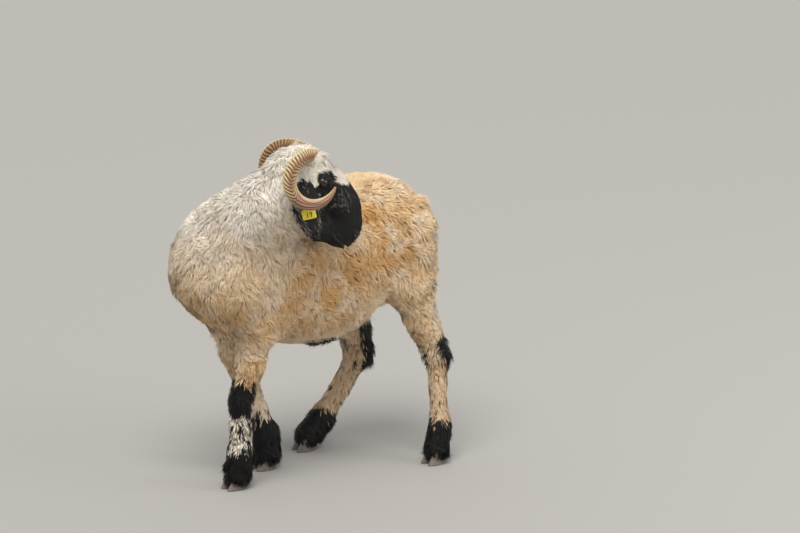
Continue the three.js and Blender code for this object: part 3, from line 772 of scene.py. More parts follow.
coat_colour.links.new(colour_mix(coat_colour, given.outputs["Black"], pale, dark), made.inputs["Color"])

# %% Fine fibres in a lock
fibres, given, made = new_group("fibres", {"Grain": "Vector", "Count": ("Float", 2.4)}, {"Value": "Float"})
noise = add(fibres, "ShaderNodeTexNoise", noise_dimensions="3D")
noise.inputs["Detail"].default_value = 2.0
fibres.links.new(given.outputs["Grain"], noise.inputs["Vector"])
fibres.links.new(given.outputs["Count"], noise.inputs["Scale"])
fibres.links.new(noise.outputs["Fac"], made.inputs["Value"])

# %% Short flat hair
flat_hair, given, made = new_group("flat_hair", {"Fineness": ("Float", 380.0)}, {"Height": "Float"})
where = add(flat_hair, "ShaderNodeTexCoord")
turn = add(flat_hair, "ShaderNodeMapping", vector_type="TEXTURE")
turn.inputs["Rotation"].default_value = Vector(HEAD_U).to_track_quat("Z", "X").to_euler()
turn.inputs["Scale"].default_value = (1, 1, 7)
flat_hair.links.new(where.outputs["Object"], turn.inputs["Vector"])
noise = add(flat_hair, "ShaderNodeTexNoise")
noise.inputs["Detail"].default_value = 3.0
flat_hair.links.new(turn.outputs[0], noise.inputs["Vector"])
flat_hair.links.new(given.outputs["Fineness"], noise.inputs["Scale"])
flat_hair.links.new(noise.outputs["Fac"], made.inputs["Height"])

# %% Materials of skin and coat
def coat_material(name, on_lock):
    material, tree, shader = new_material(name)
    parts = {"Black": mask_of(tree, "black"), "Cream": mask_of(tree, "cream"), "RustAndShade": mask_of(tree, "rust_and_shade")}
    if on_lock:
        grain = add(tree, "ShaderNodeAttribute", attribute_name="grain")
        streaks = place_group(tree, fibres, Grain=grain.outputs["Vector"])
        value = streaks.outputs["Value"]
        parts["Tip"] = mask_of(tree, "tip")
        parts["Shade"] = sum_of(tree, "MULTIPLY_ADD", sum_of(tree, "SUBTRACT", value, 0.5), 1.3, mask_of(tree, "shade"))
        depth = 0.0012
    else:
        value = place_group(tree, flat_hair).outputs["Height"]
        # The skin takes mostly the root colours, so it carries the painted shade of the coat's depth.
        parts["Tip"] = sum_of(tree, "MULTIPLY_ADD", value, 0.6, 0.15)
        parts["Shade"] = 0.5
        depth = 0.0016
    colour = place_group(tree, coat_colour, **parts)
    bump = add(tree, "ShaderNodeBump")
    bump.inputs["Strength"].default_value = 0.6
    bump.inputs["Distance"].default_value = depth
    tree.links.new(value, bump.inputs["Height"])
    shown = colour.outputs["Color"]
    rough = sum_of(tree, "MULTIPLY_ADD", parts["Black"], -0.42, 0.86)
    if not on_lock:
        leather_mask = mask_of(tree, "leather")
        shown = colour_mix(tree, leather_mask, shown, paint("2f2927"))
        rough = sum_of(tree, "MULTIPLY_ADD", leather_mask, -0.12, rough)
    tree.links.new(shown, shader.inputs["Base Color"])
    tree.links.new(bump.outputs["Normal"], shader.inputs["Normal"])
    tree.links.new(rough, shader.inputs["Roughness"])
    shader.inputs["Specular IOR Level"].default_value = 0.35
    return material


skin_finish = coat_material("skin_finish", False)
lock_finish = coat_material("lock_finish", True)
skin_mesh.materials.append(skin_finish)
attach(skin, "root")
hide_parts(*FLESH, *EARS)

# %% [markdown]
# ## The coat
#
# Particle hair isn't solid, so the coat is made of closed locks: a bent three-sided taper each, which rises
# from the skin, arches over and lies along the body. Roots are scattered evenly over the skin. The lie of the
# coat runs down and back, and random fields bend it into waves. Locks near each other lean together into
# clumps. The wool is long and curly on the body and the hair gets short and straight on the face and legs.

# %% Scatter the roots
corner_normal = read(skin_mesh.vertex_normals, "vector", 3).astype(float)
skin_mesh.calc_loop_triangles()
tri_corners = read(skin_mesh.loop_triangles, "vertices", 3, np.int32)
tri_loops = read(skin_mesh.loop_triangles, "loops", 3, np.int32)
loop_uv = read(skin_mesh.uv_layers["OFBake"].uv, "vector", 2).astype(float)
sides_a = body[tri_corners[:, 1]] - body[tri_corners[:, 0]]
sides_b = body[tri_corners[:, 2]] - body[tri_corners[:, 0]]
tri_area = np.linalg.norm(np.cross(sides_a, sides_b), axis=1) / 2
fields = np.column_stack([measures, black, cream, rust_and_shade, frost])


def scatter(seed, wanted, spacing):
    """Evenly spread roots on the triangles that are wanted, with what the skin knows at each."""
    source = np.random.default_rng(seed)
    crowd = 2.2 * tri_area * wanted / (spacing * MM) ** 2
    count = np.floor(crowd + source.random(len(crowd))).astype(int)
    chosen = np.repeat(np.arange(len(crowd)), count)
    source.shuffle(chosen)
    share = source.dirichlet([1, 1, 1], len(chosen))
    at = tri_corners[chosen]
    points = (body[at] * share[..., None]).sum(1)
    cells = np.floor(points / (spacing * MM) + source.random(3)).astype(int)
    _, kept = np.unique(cells, axis=0, return_index=True)
    chosen, share, at, points = chosen[kept], share[kept], at[kept], points[kept]
    return {
        "root": points,
        "normal": unit((corner_normal[at] * share[..., None]).sum(1)),
        "uv": (loop_uv[tri_loops[chosen]] * share[..., None]).sum(1),
        "fields": (fields[at] * share[..., None]).sum(1),
    }


# %% Which way the coat lies
swirl = wander(21, 0.055)
ripple = wander(22, 0.028)


def lie_of_coat(points, normals, turn):
    """Unit directions along the skin: down and back on the body, down the legs and down the face."""
    u, v, w = to_head(points).T
    on_head = bell(np.linalg.norm(points - from_head([140, 0, -10]), axis=1) / 0.20, 1)
    body_way = np.array([-0.62, 0, -0.80]) + np.zeros_like(points)
    body_way[:, 0] *= rise(0.30, 0.42, points[:, 2])
    body_way[:, 1] = 0.5 * np.sign(points[:, 1]) * rise(0.60, 0.75, points[:, 2])
    sideways = HEAD_V * np.sign(v)[:, None] * 0.35
    from_poll = points - HEAD_ORIGIN
    on_neck = bell(np.linalg.norm(from_poll, axis=1) / 0.30, 1) * (points[:, 2] > 0.45)
    body_way = mix(body_way, unit(from_poll) - [0, 0, 0.35], np.clip(1.5 * on_neck, 0, 1)[:, None])
    way = mix(body_way, HEAD_U + sideways, (np.clip(2.0 * on_head - 0.4, 0, 1) * rise(20, 60, u))[:, None])
    to_horn = HEAD_U * (HORN_AXIS[0] - u)[:, None] + HEAD_W * (HORN_AXIS[1] - w)[:, None]
    at_horn = bell(np.linalg.norm(to_horn, axis=1) - 22, 8) * (abs(v) > 24) * (abs(v) < 70)
    way = mix(unit(way), unit(to_horn), at_horn[:, None])
    way = unit(way - (way * normals).sum(1)[:, None] * normals)
    across = np.cross(normals, way)
    angle = turn * (0.75 * swirl(points) + 0.45 * ripple(points))
    return way * np.cos(angle)[:, None] + across * np.sin(angle)[:, None]


# %% Build locks
TIP_PATCH = 0.0015
SKIN_SHARE = 0.6
LAST_RING = 0.55
UNDER_SHARE, UNDER_LIFT = 0.38, 0.55


def clumps(roots, per_clump, source):
    """The number of the clump that each root belongs to, and the middles of the clumps."""
    chosen = source.choice(len(roots), max(1, len(roots) // per_clump), replace=False)
    tree = KDTree(len(chosen))
    for i, place in enumerate(roots[chosen]):
        tree.insert(place, i)
    tree.balance()
    return np.array([tree.find(place)[1] for place in roots]), roots[chosen]


def build_locks(name, roots, rings, seed, turn, wave, turns, clump, material, sides=3):
    source = np.random.default_rng(seed)
    count = len(roots["root"])
    root, normal = roots["root"], roots["normal"]
    depth, length, width = (roots["fields"][:, i] * MM for i in range(3))
    per_clump, pull, twist = clump
    own, centres = clumps(root, per_clump, source)
    each_clump = source.normal(size=(len(centres), 4))[own]
    jitter = source.normal(size=(count, 5))
    lie = lie_of_coat(root, normal, turn)
    across = np.cross(normal, lie)
    angle = (twist * each_clump[:, 0] + 0.10 * jitter[:, 4])[:, None]
    lie, across = lie * np.cos(angle) + across * np.sin(angle), across * np.cos(angle) - lie * np.sin(angle)
    length = length * np.clip(1 + 0.16 * jitter[:, 0] + 0.09 * each_clump[:, 1], 0.45, 1.5)
    lift = np.clip(0.86 + 0.06 * jitter[:, 1] + 0.05 * each_clump[:, 2] + 0.10 * ripple(root + 0.3), 0.4, 1.10)
    lift = np.where(source.random(count) < UNDER_SHARE, UNDER_LIFT * lift, lift)
    frosted = source.random(count) < roots["fields"][:, 6]
    length = np.minimum(length * (1 + 0.7 * frosted), np.maximum(root[:, 2] - 5 * MM, 5 * MM))
    run = np.sqrt(np.maximum(length**2 - (depth * lift) ** 2, (0.35 * length) ** 2))
    lean = centres[own] - root
    lean = (lean - (lean * normal).sum(1)[:, None] * normal) * pull
    phase = 2.2 * ripple(root + 0.7) + 1.2 * each_clump[:, 3] + 0.3 * jitter[:, 2]
    stations = np.append(np.linspace(0, LAST_RING, rings), 1.0)
    widths = np.append(np.linspace(0.8, 1.0, rings), 0)
    middles = []
    for s in stations:
        up = 1 - (1 - s) ** 2
        sway = wave * MM * np.sin(phase + turns * 2 * math.pi * s) * min(1, 2 * s)
        curl = 0.5 * wave * MM * np.cos(phase + turns * 2 * math.pi * s) * min(1, 2 * s)
        middle = root + normal * (depth * lift * up + curl - 1.0 * MM * (s == 0))[:, None]
        middle = middle + lie * (run * s**1.4)[:, None] + across * sway[:, None] + lean * s**1.5
        middles.append(middle)
    middles = np.stack(middles, 1)
    middles[..., 2] = np.maximum(middles[..., 2], 4 * MM)
    forward = unit(np.gradient(middles, axis=1))
    side = unit(across[:, None] - (across[:, None] * forward).sum(-1, keepdims=True) * forward)
    top = np.cross(side, forward)
    angles = math.pi / 2 + np.arange(sides) * 2 * math.pi / sides
    radius = (width[:, None] / 2 * widths[None, :rings])[..., None]
    loop = middles[:, :rings, None] + side[:, :rings, None] * (radius * np.cos(angles))[..., None]
    loop = loop + top[:, :rings, None] * (0.62 * radius * np.sin(angles))[..., None]
    points = np.concatenate([loop.reshape(count, -1, 3), middles[:, rings:]], 1)
    each = rings * sides + 1
    i, j = np.meshgrid(np.arange(rings - 1), np.arange(sides), indexing="ij")
    here, beside = (i * sides + j).ravel(), (i * sides + (j + 1) % sides).ravel()
    last = (rings - 1) * sides + np.arange(sides)
    faces = np.concatenate([
        np.stack([here, beside + sides, beside], 1),
        np.stack([here, here + sides, beside + sides], 1),
        np.stack([last, np.full(sides, each - 1), (rings - 1) * sides + (np.arange(sides) + 1) % sides], 1),
    ])
    along = np.append(np.repeat(stations[:rings], sides), 1.0)
    grain_round = np.append(np.tile(angles, rings), angles[0])
    patch = np.stack([np.cos(grain_round) * 0.6, along * 2 - 1], 1) * TIP_PATCH
    seeds = source.random(count)
    pieces = []
    most = 190_000 // len(faces)
    parts = math.ceil(count / most)
    for k in range(parts):
        mine = np.arange(k, count, parts)
        n = len(mine)
        all_faces = (faces[None] + (np.arange(n) * each)[:, None, None]).reshape(-1, 3)
        piece = new_piece(f"{name}_{k + 1}" if parts > 1 else name, points[mine].reshape(-1, 3), all_faces)
        mesh = piece.data
        uv = (roots["uv"][mine][:, None] + patch[None]).reshape(-1, 2)
        layer = mesh.uv_layers.new(name="OFBake")
        layer.uv.foreach_set("vector", uv[all_faces.ravel()].astype(np.float32).ravel())
        blackness = rise(-0.12, 0.12, roots["fields"][mine, 3] - mix(0.15, 0.85, source.random(n)))
        blackness = blackness * (1 - 0.42 * frosted[mine] * source.random(n))
        write_mask(mesh, "black", np.repeat(blackness, each))
        for label, column in (("cream", 4), ("rust_and_shade", 5)):
            write_mask(mesh, label, np.repeat(roots["fields"][mine, column], each))
        write_mask(mesh, "tip", np.tile(along, n))
        shade_here = 0.5 + 0.10 * source.normal(size=n) + 0.12 * each_clump[mine, 1] + 0.10 * swirl(root[mine] + 0.2)
        write_mask(mesh, "shade", np.repeat(shade_here, each))
        own_normals = read(mesh.vertex_normals, "vector", 3).astype(float)
        soft = unit(mix(own_normals, np.repeat(normal[mine], each, axis=0), SKIN_SHARE))
        mesh.normals_split_custom_set_from_vertices(soft)
        grain = np.stack([np.tile(np.cos(grain_round), n), np.tile(np.sin(grain_round), n),
                          np.repeat(seeds[mine] * 90, each) + np.tile(along * 0.4, n)], 1)
        vectors = mesh.attributes.new("grain", "FLOAT_VECTOR", "POINT")
        vectors.data.foreach_set("vector", grain.astype(np.float32).ravel())
        mesh.materials.append(material)
        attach(piece, "root")
        pieces.append(piece)
    print(name, "has", count, "locks of", len(faces), "triangles in", parts, "pieces")
    return pieces


# %% Sort the skin into kinds of coat
tri_measures = measures[tri_corners].mean(1)
tri_depth = tri_measures[:, 0]
tri_ear = tri_corners[:, 0] >= body_count
tri_face = (np.append(head_here, np.zeros(len(ear_measures), bool))[tri_corners[:, 0]]) & (tri_depth < 5.5)
centres = body[tri_corners].mean(1)
U, V_, W = to_head(centres).T
near_eye = np.linalg.norm(np.stack([U - EYE[0], abs(V_) - EYE[1] - 8, W - EYE[2]], 1), axis=1)
open_eye = near_eye < 14
bare = np.append((nostril_gap < 8) | (lip_gap < 3.2), np.zeros(len(ear_measures), bool))[tri_corners[:, 0]]
tag_near = np.linalg.norm(centres - welded("ear_tag")[0].mean(0), axis=1) < 15 * MM
inside_horn = np.linalg.norm(np.stack([U - 45, abs(V_) - 48, W - 15], 1), axis=1) < 13
wool_area = (tri_depth > 11) & ~tri_ear
leg_wool = (tri_depth <= 11) & (tri_depth > 7) & ~tri_ear & ~tri_face
leg_hair = (tri_depth <= 7) & ~tri_ear & ~tri_face
face_hair = tri_face & ~open_eye & ~bare

kinds = {
    "wool": (wool_area & ~inside_horn, 2.83, 2, 0.6, 1.6, 0.5, (26, 0.36, 0.22), "wool"),
    "short_wool": (leg_wool & ~inside_horn, 2.83, 2, 0.4, 1.0, 0.5, (22, 0.5, 0.22), "wool"),
    "leg_hair": (leg_hair & ~inside_horn, 2.9, 2, 0.25, 0.4, 0.5, (12, 0.6, 0.2), "leg_hair"),
    "face_hair": (face_hair & ~inside_horn, 2.5, 2, 0.2, 0.1, 0.3, (8, 0.3, 0.1), "face"),
    "ear_hair": (tri_ear & ~tag_near, 2.6, 2, 0.3, 0.3, 0.3, (8, 0.4, 0.2), "face"),
}
for number, (kind, settings) in enumerate(kinds.items()):
    area, spacing, rings, turn, wave, turns, clump, slot_name = settings
    roots = scatter(31 + number, area, spacing)
    build_locks(kind, roots, rings, 41 + number, turn, wave, turns, clump, lock_finish)

# %% [markdown]
# ## Horns
#
# A ram's horn grows as a ringed cone and coils as it grows. Each horn is a loft along the same spiral as in
# the construction model. A saw of rounded ridges runs round it, bent into a chevron over the keel of the outer
# face. Toward the tip the ridges give way to long flowing furrows. The grooves and furrows carry a painted
# shade of dark brown; that mask, the russet keel and the pale rim are masks on the mesh, worked out with the
# shape, so colour and relief always agree.

# %% Horn shape
HORN = {
    "centre": (75, -26), "coil": (51, 60), "turn": (126, 402), "outward": (38, 121), "spring": 6,
    "radial": 17.6, "lateral": 15.6, "tip": 2.2, "fullness": 4.5,
}
RIDGE_PITCH, RIDGE_DEPTH = 8.2, 3.1
HORN_RINGS, HORN_ROUND = 310, 88
HORN_START = -0.035


def wrapped(angle):
    return (angle + math.pi) % (2 * math.pi) - math.pi


def capped(points, faces, rings, sides):
    """Closes both ends of a loft with a middle point and a fan."""
    points = np.concatenate([points, [points[:sides].mean(0), points[-sides:].mean(0)]])
    first, last = len(points) - 2, len(points) - 1
    i = np.arange(sides)
    j = (i + 1) % sides
    far = (rings - 1) * sides
    fans = [(first, int(b), int(a)) for a, b in zip(i, j)] + [(last, int(far + a), int(far + b)) for a, b in zip(i, j)]
    return points, [tuple(int(c) for c in face) for face in faces] + fans


def outside_out(piece):
    bm = bmesh.new()
    bm.from_mesh(piece.data)
    bmesh.ops.recalc_face_normals(bm, faces=bm.faces)
    bm.to_mesh(piece.data)
    bm.free()


def horn(name, side):
    t = np.linspace(HORN_START, 1, HORN_RINGS)[:, None]
    phi = np.linspace(0, 2 * math.pi, HORN_ROUND, endpoint=False)[None, :]
    turn = np.radians(mix(*HORN["turn"], t))
    reach = mix(*HORN["coil"], t)
    lateral = mix(*HORN["outward"], 1 - (1 - t) ** HORN["spring"])
    path = np.concatenate([reach * np.cos(turn), lateral, reach * np.sin(turn)], 1)
    length = np.append(0, np.linalg.norm(np.diff(path, axis=0), axis=1).cumsum())[:, None]
    taper = 1 - np.maximum(t, 0) ** HORN["fullness"]
    from_keel = abs(wrapped(phi - math.pi / 2))
    from_rim = abs(wrapped(phi - 0.1))
    bend = 1.15 * np.minimum(from_keel, 1.6) + 0.25 * np.sin(length / 23 + 2 * phi) + 0.12 * np.sin(length / 7 + phi)
    saw = (length / RIDGE_PITCH + bend) % 1
    hump = 1 - abs(2 * saw - 1) ** 2.4
    ringed = (1 - rise(0.50, 0.66, t)) * rise(0.0, 0.04, t) * (1 - 0.6 * bell(from_rim, 0.28))
    keel = bell(from_keel, 0.42) * (1 - rise(0.42, 0.56, t))
    relief = -RIDGE_DEPTH * (1 - hump) * ringed * (1 - 0.45 * keel)
    flowing = rise(0.48, 0.60, t) * (1 - rise(0.93, 1.0, t))
    furrows = np.zeros_like(relief)
    for degrees, depth in ((8, 0.7), (36, 0.9), (62, 1.0), (88, 0.9), (116, 0.8), (146, 0.5)):
        line = math.radians(degrees) + 0.13 * np.sin(length / 17 + degrees) + 0.25 * (t - 0.7)
        furrows = np.maximum(furrows, depth * bell(wrapped(phi - line), 0.13))
    relief = relief - 2.0 * furrows * flowing
    relief = relief + 2.2 * bell(wrapped(phi - 2.55), 0.30) * flowing * (1 + 0.4 * np.sin(length / 9))
    relief = relief + 0.25 * np.sin(5 * phi + length / 31) * taper
    radial = HORN["tip"] + (HORN["radial"] - HORN["tip"]) * taper + relief * (0.25 + 0.75 * taper)
    across = HORN["tip"] + (HORN["lateral"] - HORN["tip"]) * taper + relief * (0.25 + 0.75 * taper)
    outward = np.concatenate([np.cos(turn), 0 * turn, np.sin(turn)], 1)
    sideways = unit(np.cross(unit(np.gradient(path, axis=0)), outward))
    points = path[:, None] + outward[:, None] * (radial * np.cos(phi))[..., None]
    points = points + sideways[:, None] * (across * np.sin(phi))[..., None]
    points = (points + [HORN["centre"][0], 0, HORN["centre"][1]]) * [1, side, 1]
    points = from_head(points.reshape(-1, 3))
    points, faces = capped(points, loft_faces(HORN_RINGS, HORN_ROUND), HORN_RINGS, HORN_ROUND)
    piece = new_piece(name, points, faces)
    outside_out(piece)
    # Painted shade: the grooves between the ridges and the flowing furrows are marked for darkening.
    groove_shade = np.maximum((1 - rise(0.30, 0.90, hump)) * ringed * (1 - 0.25 * keel), 0.95 * furrows * flowing)
    inner_face = bell(wrapped(phi + math.pi / 2), 1.0)
    russet = np.maximum(keel, 0.75 * inner_face * (1 - 0.7 * rise(0.6, 0.9, t)))
    pale = np.maximum(bell(from_rim, 0.32), bell(wrapped(phi - 2.6), 0.4) * flowing)
    pale = np.maximum(pale, 0.55 * rise(0.5, 0.9, hump) * ringed * (1 - keel) * (from_keel < 1.9))
    rosy = flowing * bell(wrapped(phi - 1.6), 0.9)
    for label, mask in (("groove_shade", groove_shade), ("russet", russet), ("pale", pale), ("rosy", rosy)):
        mask = (mask + np.zeros_like(relief)).ravel()
        write_mask(piece.data, label, np.append(mask, [mask[0], mask[-1]]))
    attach(piece, "root")
    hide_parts(name)
    return piece


# %% Horn finish
horn_finish, tree, shader = new_material("horn_finish")
where = add(tree, "ShaderNodeTexCoord")
cloud = add(tree, "ShaderNodeTexNoise")
cloud.inputs["Scale"].default_value = 70
cloud.inputs["Detail"].default_value = 5
tree.links.new(where.outputs["Object"], cloud.inputs["Vector"])
base = colour_mix(tree, cloud.outputs["Fac"], paint("7a6038"), paint("b0905c"))
base = colour_mix(tree, mask_of(tree, "pale"), base, paint("dccaa0"))
base = colour_mix(tree, mask_of(tree, "rosy"), base, paint("a87d66"))
base = colour_mix(tree, sum_of(tree, "MULTIPLY", mask_of(tree, "russet"), 0.75), base, paint("8c5a40"))
# Painted shade: near-black brown in the grooves and furrows.
base = colour_mix(tree, sum_of(tree, "MULTIPLY", mask_of(tree, "groove_shade"), 0.94), base, paint("2e1c12"))
tree.links.new(base, shader.inputs["Base Color"])
grain = add(tree, "ShaderNodeTexNoise")
grain.inputs["Scale"].default_value = 420
grain.inputs["Detail"].default_value = 3
tree.links.new(where.outputs["Object"], grain.inputs["Vector"])
bump = add(tree, "ShaderNodeBump")
bump.inputs["Strength"].default_value = 0.45
bump.inputs["Distance"].default_value = 0.0016
tree.links.new(grain.outputs["Fac"], bump.inputs["Height"])
tree.links.new(bump.outputs["Normal"], shader.inputs["Normal"])
tree.links.new(sum_of(tree, "MULTIPLY_ADD", cloud.outputs["Fac"], 0.3, 0.46), shader.inputs["Roughness"])

for name, side in (("left_horn", 1), ("right_horn", -1)):
    piece = horn(name, side)
    piece.name = name + "_ringed"
    piece.data.materials.append(horn_finish)
    print(piece.name, len(piece.data.polygons), "faces")

# %% [markdown]
# ## Eyes
#
# A sheep's eye is a dark amber ball with a level, slot-shaped pupil and a clear bulging front. The ball is a
# set of rings round the line of gaze, so that the iris and pupil are masks by distance from it.

# %% Eyeballs
IRIS = 8.6
CORNEA = 0.9
EYE_RINGS, EYE_ROUND = 48, 64


def eyeball(name, node, side):
    centre = from_head([EYE[0], side * EYE[1], EYE[2]])
    gaze = unit(HEAD_AXES.T @ np.array([0.24, side, 0.10]))
    slant = HEAD_U + 0.22 * HEAD_W
    level = unit(slant - (slant @ gaze) * gaze)
    upward = np.cross(gaze, level)
    polar = np.linspace(0.002, math.pi - 0.002, EYE_RINGS)[:, None]
    phi = np.linspace(0, 2 * math.pi, EYE_ROUND, endpoint=False)[None, :]
    spread = EYE_RADIUS * np.sin(polar) + 0 * phi
    bulge = CORNEA * np.clip(1 - (spread / (IRIS + 1)) ** 2, 0, 1) * (polar < 1.5)
    a, b = spread * np.cos(phi), spread * np.sin(phi)
    out = (EYE_RADIUS - 0.4) * np.cos(polar) + bulge
    points = centre + (a[..., None] * level + b[..., None] * upward + out[..., None] * gaze).reshape(-1, 3) * MM
    points, faces = capped(points, loft_faces(EYE_RINGS, EYE_ROUND), EYE_RINGS, EYE_ROUND)
    piece = new_piece(name, points, faces)
    outside_out(piece)
    front = polar < 1.5
    slot = (abs(a / 5.2) ** 4 + abs(b / 2.1) ** 4) < 1
    fibre = 0.5 + 0.5 * np.sin(phi * 31 + spread * 1.3)
    masks = {"pupil": slot & front, "iris": (1 - rise(IRIS - 0.7, IRIS, spread)) * front, "fibre": fibre}
    for label, mask in masks.items():
        mask = (mask + np.zeros_like(spread)).ravel()
        write_mask(piece.data, label, np.append(mask, [mask[0], mask[-1]]))
    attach(piece, "root")
    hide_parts(node)
    return piece


eye_finish, tree, shader = new_material("eye_finish")
iris = colour_mix(tree, mask_of(tree, "fibre"), paint("1a1009"), paint("38220f"))
base = colour_mix(tree, mask_of(tree, "iris"), paint("100b09"), iris)
base = colour_mix(tree, mask_of(tree, "pupil"), base, paint("040405"))
tree.links.new(base, shader.inputs["Base Color"])
shader.inputs["Roughness"].default_value = 0.06
shader.inputs["Specular IOR Level"].default_value = 0.35
shader.inputs["Coat Weight"].default_value = 0.35
shader.inputs["Coat Roughness"].default_value = 0.05
for node, side in (("left_eye", 1), ("right_eye", -1)):
    eyeball(node + "ball", node, side).data.materials.append(eye_finish)
print("eyes set", EYE_RADIUS * 2, "mm across")

# %% [markdown]
# ## Claws
#
# Each foot stands on two claws. A claw is a loft from its flat sole up into the hair, with a straight inner
# wall, a bulging outer one and faint growth lines.

# %% Claws
CLAW = {"length": 56, "width": 25, "height": 37, "spacing": 13.2}
TOES = {
    "front_left": ((310, 58), 4), "front_right": ((164, -46), -4),
    "rear_left": ((-228, 151), 5), "rear_right": ((-9, -133), -5),
}
CLAW_RINGS, CLAW_ROUND = 26, 40


def claw(leg, place, side):
    (toe_x, toe_y), heading = TOES[leg]
    turn = math.radians(heading + side * 3)
    t = np.linspace(0, 1, CLAW_RINGS)[:, None]
    a = np.linspace(0, 2 * math.pi, CLAW_ROUND, endpoint=False)[None, :]
    height = CLAW["height"] * t
    worn = 1 - 0.05 * (1 - rise(0, 0.08, t))
    grown = 1 + 0.012 * np.sin(height * 2.1 + 1.5 * np.cos(a)) * rise(0.08, 0.2, t)
    shrink = (1 - 0.22 * t) * worn * grown
    pointed = 1 - 0.28 * np.maximum(np.cos(a), 0) ** 3 * abs(np.sin(a))
    flat = np.where(np.sin(a) * side < 0, 0.82, 1)
    x = CLAW["length"] / 2 * shrink * np.cos(a) - 0.42 * height
    y = CLAW["width"] / 2 * shrink * np.sin(a) * flat * pointed + side * CLAW["spacing"]
    z = height + 0 * a
    x, y = x * math.cos(turn) - y * math.sin(turn) + toe_x, x * math.sin(turn) + y * math.cos(turn) + toe_y
    points = (np.stack([x, y, z], -1).reshape(-1, 3) - MIDDLE) * MM
    points, faces = capped(points, loft_faces(CLAW_RINGS, CLAW_ROUND), CLAW_RINGS, CLAW_ROUND)
    piece = new_piece(f"{leg}_{place}_hoof", points, faces)
    outside_out(piece)
    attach(piece, "root")
    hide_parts(f"{leg}_{place}_claw")
    return piece


claw_finish, tree, shader = new_material("claw_finish")
where = add(tree, "ShaderNodeTexCoord")
streaks = add(tree, "ShaderNodeTexNoise")
streaks.inputs["Scale"].default_value = 160
streaks.inputs["Detail"].default_value = 4
tree.links.new(where.outputs["Object"], streaks.inputs["Vector"])
tree.links.new(colour_mix(tree, streaks.outputs["Fac"], paint("3b3531"), paint("857a6f")), shader.inputs["Base Color"])
bump = add(tree, "ShaderNodeBump")
bump.inputs["Strength"].default_value = 0.5
bump.inputs["Distance"].default_value = 0.0006
tree.links.new(streaks.outputs["Fac"], bump.inputs["Height"])
tree.links.new(bump.outputs["Normal"], shader.inputs["Normal"])
shader.inputs["Roughness"].default_value = 0.5
for leg in LEGS:
    for place, side in (("left", 1), ("right", -1)):
        claw(leg, place, side).data.materials.append(claw_finish)
print("claws:", len(LEGS) * 2)

# %% [markdown]
# ## Ear tag
#
# The tag is moulded plastic: a rounded plate on the outside of the ear with a raised neck, a button on the
# other side and a stud between them. Its place is measured from the construction model's own tag. It carries
# a plain two-figure number.

# %% Ear tag
tag_points, _ = welded("ear_tag")
tag_middle = tag_points.mean(0)
plate = tag_points[np.linalg.norm(tag_points - tag_middle, axis=1) > 0.017]
plate_middle = plate.mean(0)
_, _, tag_axes = np.linalg.svd(plate - plate_middle)
tag_wide, tag_high = tag_axes[0], tag_axes[1]
tag_out = np.cross(tag_wide, tag_high)
tag_out = tag_out * np.sign(tag_out @ (plate_middle - tag_middle))
tag_half = abs((plate - plate_middle) @ tag_axes.T).max(0)
print("tag plate", (2 * tag_half / MM).round(1), "mm")


def rounded(half_wide, half_high, corner, steps=8):
    """The outline of a plate with round corners, as pairs."""
    spots = []
    for quarter, (sx, sy) in enumerate(((1, 1), (-1, 1), (-1, -1), (1, -1))):
        for a in np.linspace(0, math.pi / 2, steps) + quarter * math.pi / 2:
            spots.append((sx * (half_wide - corner) + corner * math.cos(a),
                          sy * (half_high - corner) + corner * math.sin(a)))
    return np.array(spots)


def stacked(name, outlines, heights, middle):
    """A solid from outlines laid over each other along the tag's outward direction."""
    sides = len(outlines[0])
    rings = [middle + o[:, :1] * tag_wide + o[:, 1:] * tag_high + h * tag_out for o, h in zip(outlines, heights)]
    points, faces = capped(np.concatenate(rings), loft_faces(len(rings), sides), len(rings), sides)
    piece = new_piece(name, points, faces)
    outside_out(piece)
    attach(piece, "root")
    return piece


edge = rounded(tag_half[0], tag_half[1], 4 * MM)
inset = rounded(tag_half[0] - 0.5 * MM, tag_half[1] - 0.5 * MM, 3.6 * MM)
thick = tag_half[2]
tag_plate = stacked("tag_plate", [inset, edge, edge, inset], [-thick, -thick * 0.5, thick * 0.5, thick], plate_middle)
disc = rounded(8 * MM, 8 * MM, 7.99 * MM)
lift = np.linalg.norm(plate_middle - tag_middle)
upright = tag_high * np.sign(tag_high[2])
stud_at = plate_middle + upright * 6.5 * MM
button_at = stud_at + 2 * (tag_middle - plate_middle)
tag_button = stacked("tag_button", [disc * 0.93, disc, disc, disc * 0.93], [-thick, -thick / 2, thick / 2, thick], button_at)
stud = rounded(3.2 * MM, 3.2 * MM, 3.19 * MM)
profile = [stud * 0.6, stud, stud, stud, stud * 0.7]
tag_stud = stacked("tag_stud", profile, [-2 * lift, -lift, -0.6 * MM, 1.6 * MM, 2.2 * MM], stud_at)
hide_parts("ear_tag")

# %% Number on the tag
number = bpy.data.curves.new("number", "FONT")
number.body = "17"
number.size = 0.017
number.extrude = 0.0005
number.align_x, number.align_y = "CENTER", "CENTER"
letters = bpy.data.objects.new("number", number)
bpy.context.scene.collection.objects.link(letters)
bpy.context.view_layer.update()
digits = bpy.data.meshes.new_from_object(letters.evaluated_get(bpy.context.evaluated_depsgraph_get()))
bpy.data.objects.remove(letters)
reading = np.array([np.cross(upright, tag_out), upright, tag_out])
spots = read(digits.vertices, "co", 3).astype(float)
set_points(digits, plate_middle + spots @ reading - upright * 3.5 * MM + tag_out * (thick + 0.3 * MM))
tag_number = bpy.data.objects.new("tag_number", digits)
bpy.context.scene.collection.objects.link(tag_number)
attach(tag_number, "root")

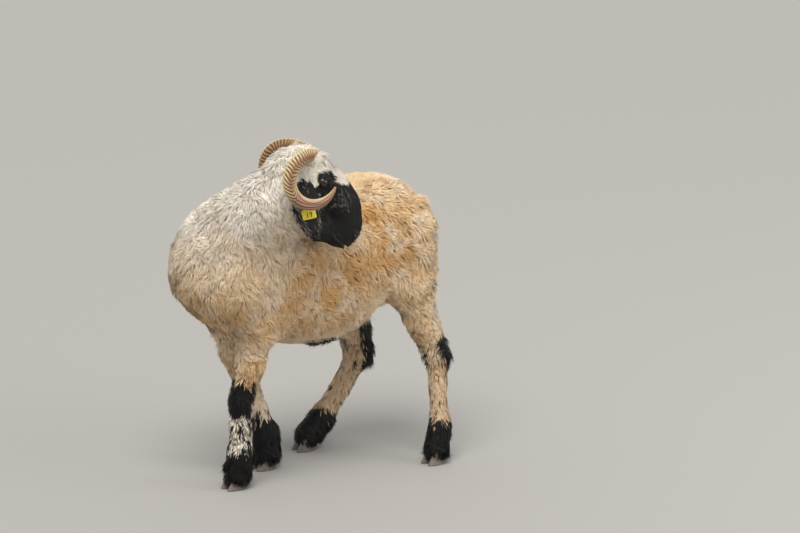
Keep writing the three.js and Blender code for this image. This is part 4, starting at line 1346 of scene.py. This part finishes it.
# %% Tag finish
def plastic(name, clean, worn, rough):
    material, tree, shader = new_material(name)
    where = add(tree, "ShaderNodeTexCoord")
    scuffs = add(tree, "ShaderNodeTexNoise")
    scuffs.inputs["Scale"].default_value = 240
    scuffs.inputs["Detail"].default_value = 6
    tree.links.new(where.outputs["Object"], scuffs.inputs["Vector"])
    tree.links.new(colour_mix(tree, scuffs.outputs["Fac"], clean, worn), shader.inputs["Base Color"])
    shader.inputs["Roughness"].default_value = rough
    return material


yellow = plastic("tag_yellow", paint("f2e13a"), paint("cdb62a"), 0.42)
ink = plastic("tag_ink", paint("14130f"), paint("2e2b22"), 0.6)
for piece in (tag_plate, tag_button, tag_stud):
    piece.data.materials.append(yellow)
digits.materials.clear()
digits.materials.append(ink)

# %% [markdown]
# ## Camera, light and floor
#
# The camera looks slightly down on the animal's left side from the front of its flank, with a long lens. A
# wide soft light hangs over it, a weaker one fills from the side, and a pale floor runs to the horizon.

# %% Camera
camera_data = bpy.data.cameras.new("camera")
camera_data.lens = 124.425
camera_data.sensor_width = 36.0
camera_data.clip_end = 200
camera = bpy.data.objects.new("camera", camera_data)
bpy.context.scene.collection.objects.link(camera)
camera_at = Vector((3.5144, 5.7548, 2.0967))
target = Vector((-0.2003, 0.0345, 0.5220))
camera.location = camera_at
camera.rotation_mode = "QUATERNION"
camera.rotation_quaternion = (target - camera_at).to_track_quat("-Z", "Y")
bpy.context.scene.camera = camera

# %% Light
scene = bpy.context.scene
scene.view_settings.view_transform = "Standard"
world = bpy.data.worlds.new("studio")
world.use_nodes = True
world.node_tree.nodes["Background"].inputs["Color"].default_value = (0.96, 0.96, 0.965, 1)
world.node_tree.nodes["Background"].inputs["Strength"].default_value = 0.72
scene.world = world


def soft_light(name, at, aim, size, power):
    lamp = bpy.data.lights.new(name, "AREA")
    lamp.shape = "DISK"
    lamp.size = size
    lamp.energy = power
    lamp_object = bpy.data.objects.new(name, lamp)
    scene.collection.objects.link(lamp_object)
    lamp_object.location = at
    lamp_object.rotation_mode = "QUATERNION"
    lamp_object.rotation_quaternion = (Vector(aim) - Vector(at)).to_track_quat("-Z", "Y")


sky = bpy.data.lights.new("sky", "SUN")
sky.energy = 2.75
sky.angle = math.radians(38)
sky.color = (1.0, 0.975, 0.93)
sky_object = bpy.data.objects.new("sky", sky)
scene.collection.objects.link(sky_object)
sky_object.rotation_mode = "QUATERNION"
sky_object.rotation_quaternion = Vector((-1.5, -1.7, -4.0)).to_track_quat("-Z", "Y")
soft_light("fill", (-3.0, 3.4, 2.2), (0, 0, 0.5), 3.0, 70)

# %% Floor
floor = new_piece("floor", [(-60, -60, 0), (60, -60, 0), (60, 60, 0), (-60, 60, 0)], [(0, 1, 2, 3)])
floor_finish, tree, shader = new_material("floor_finish")
shader.inputs["Base Color"].default_value = paint("9d9b97")
shader.inputs["Roughness"].default_value = 0.9
floor.data.materials.append(floor_finish)
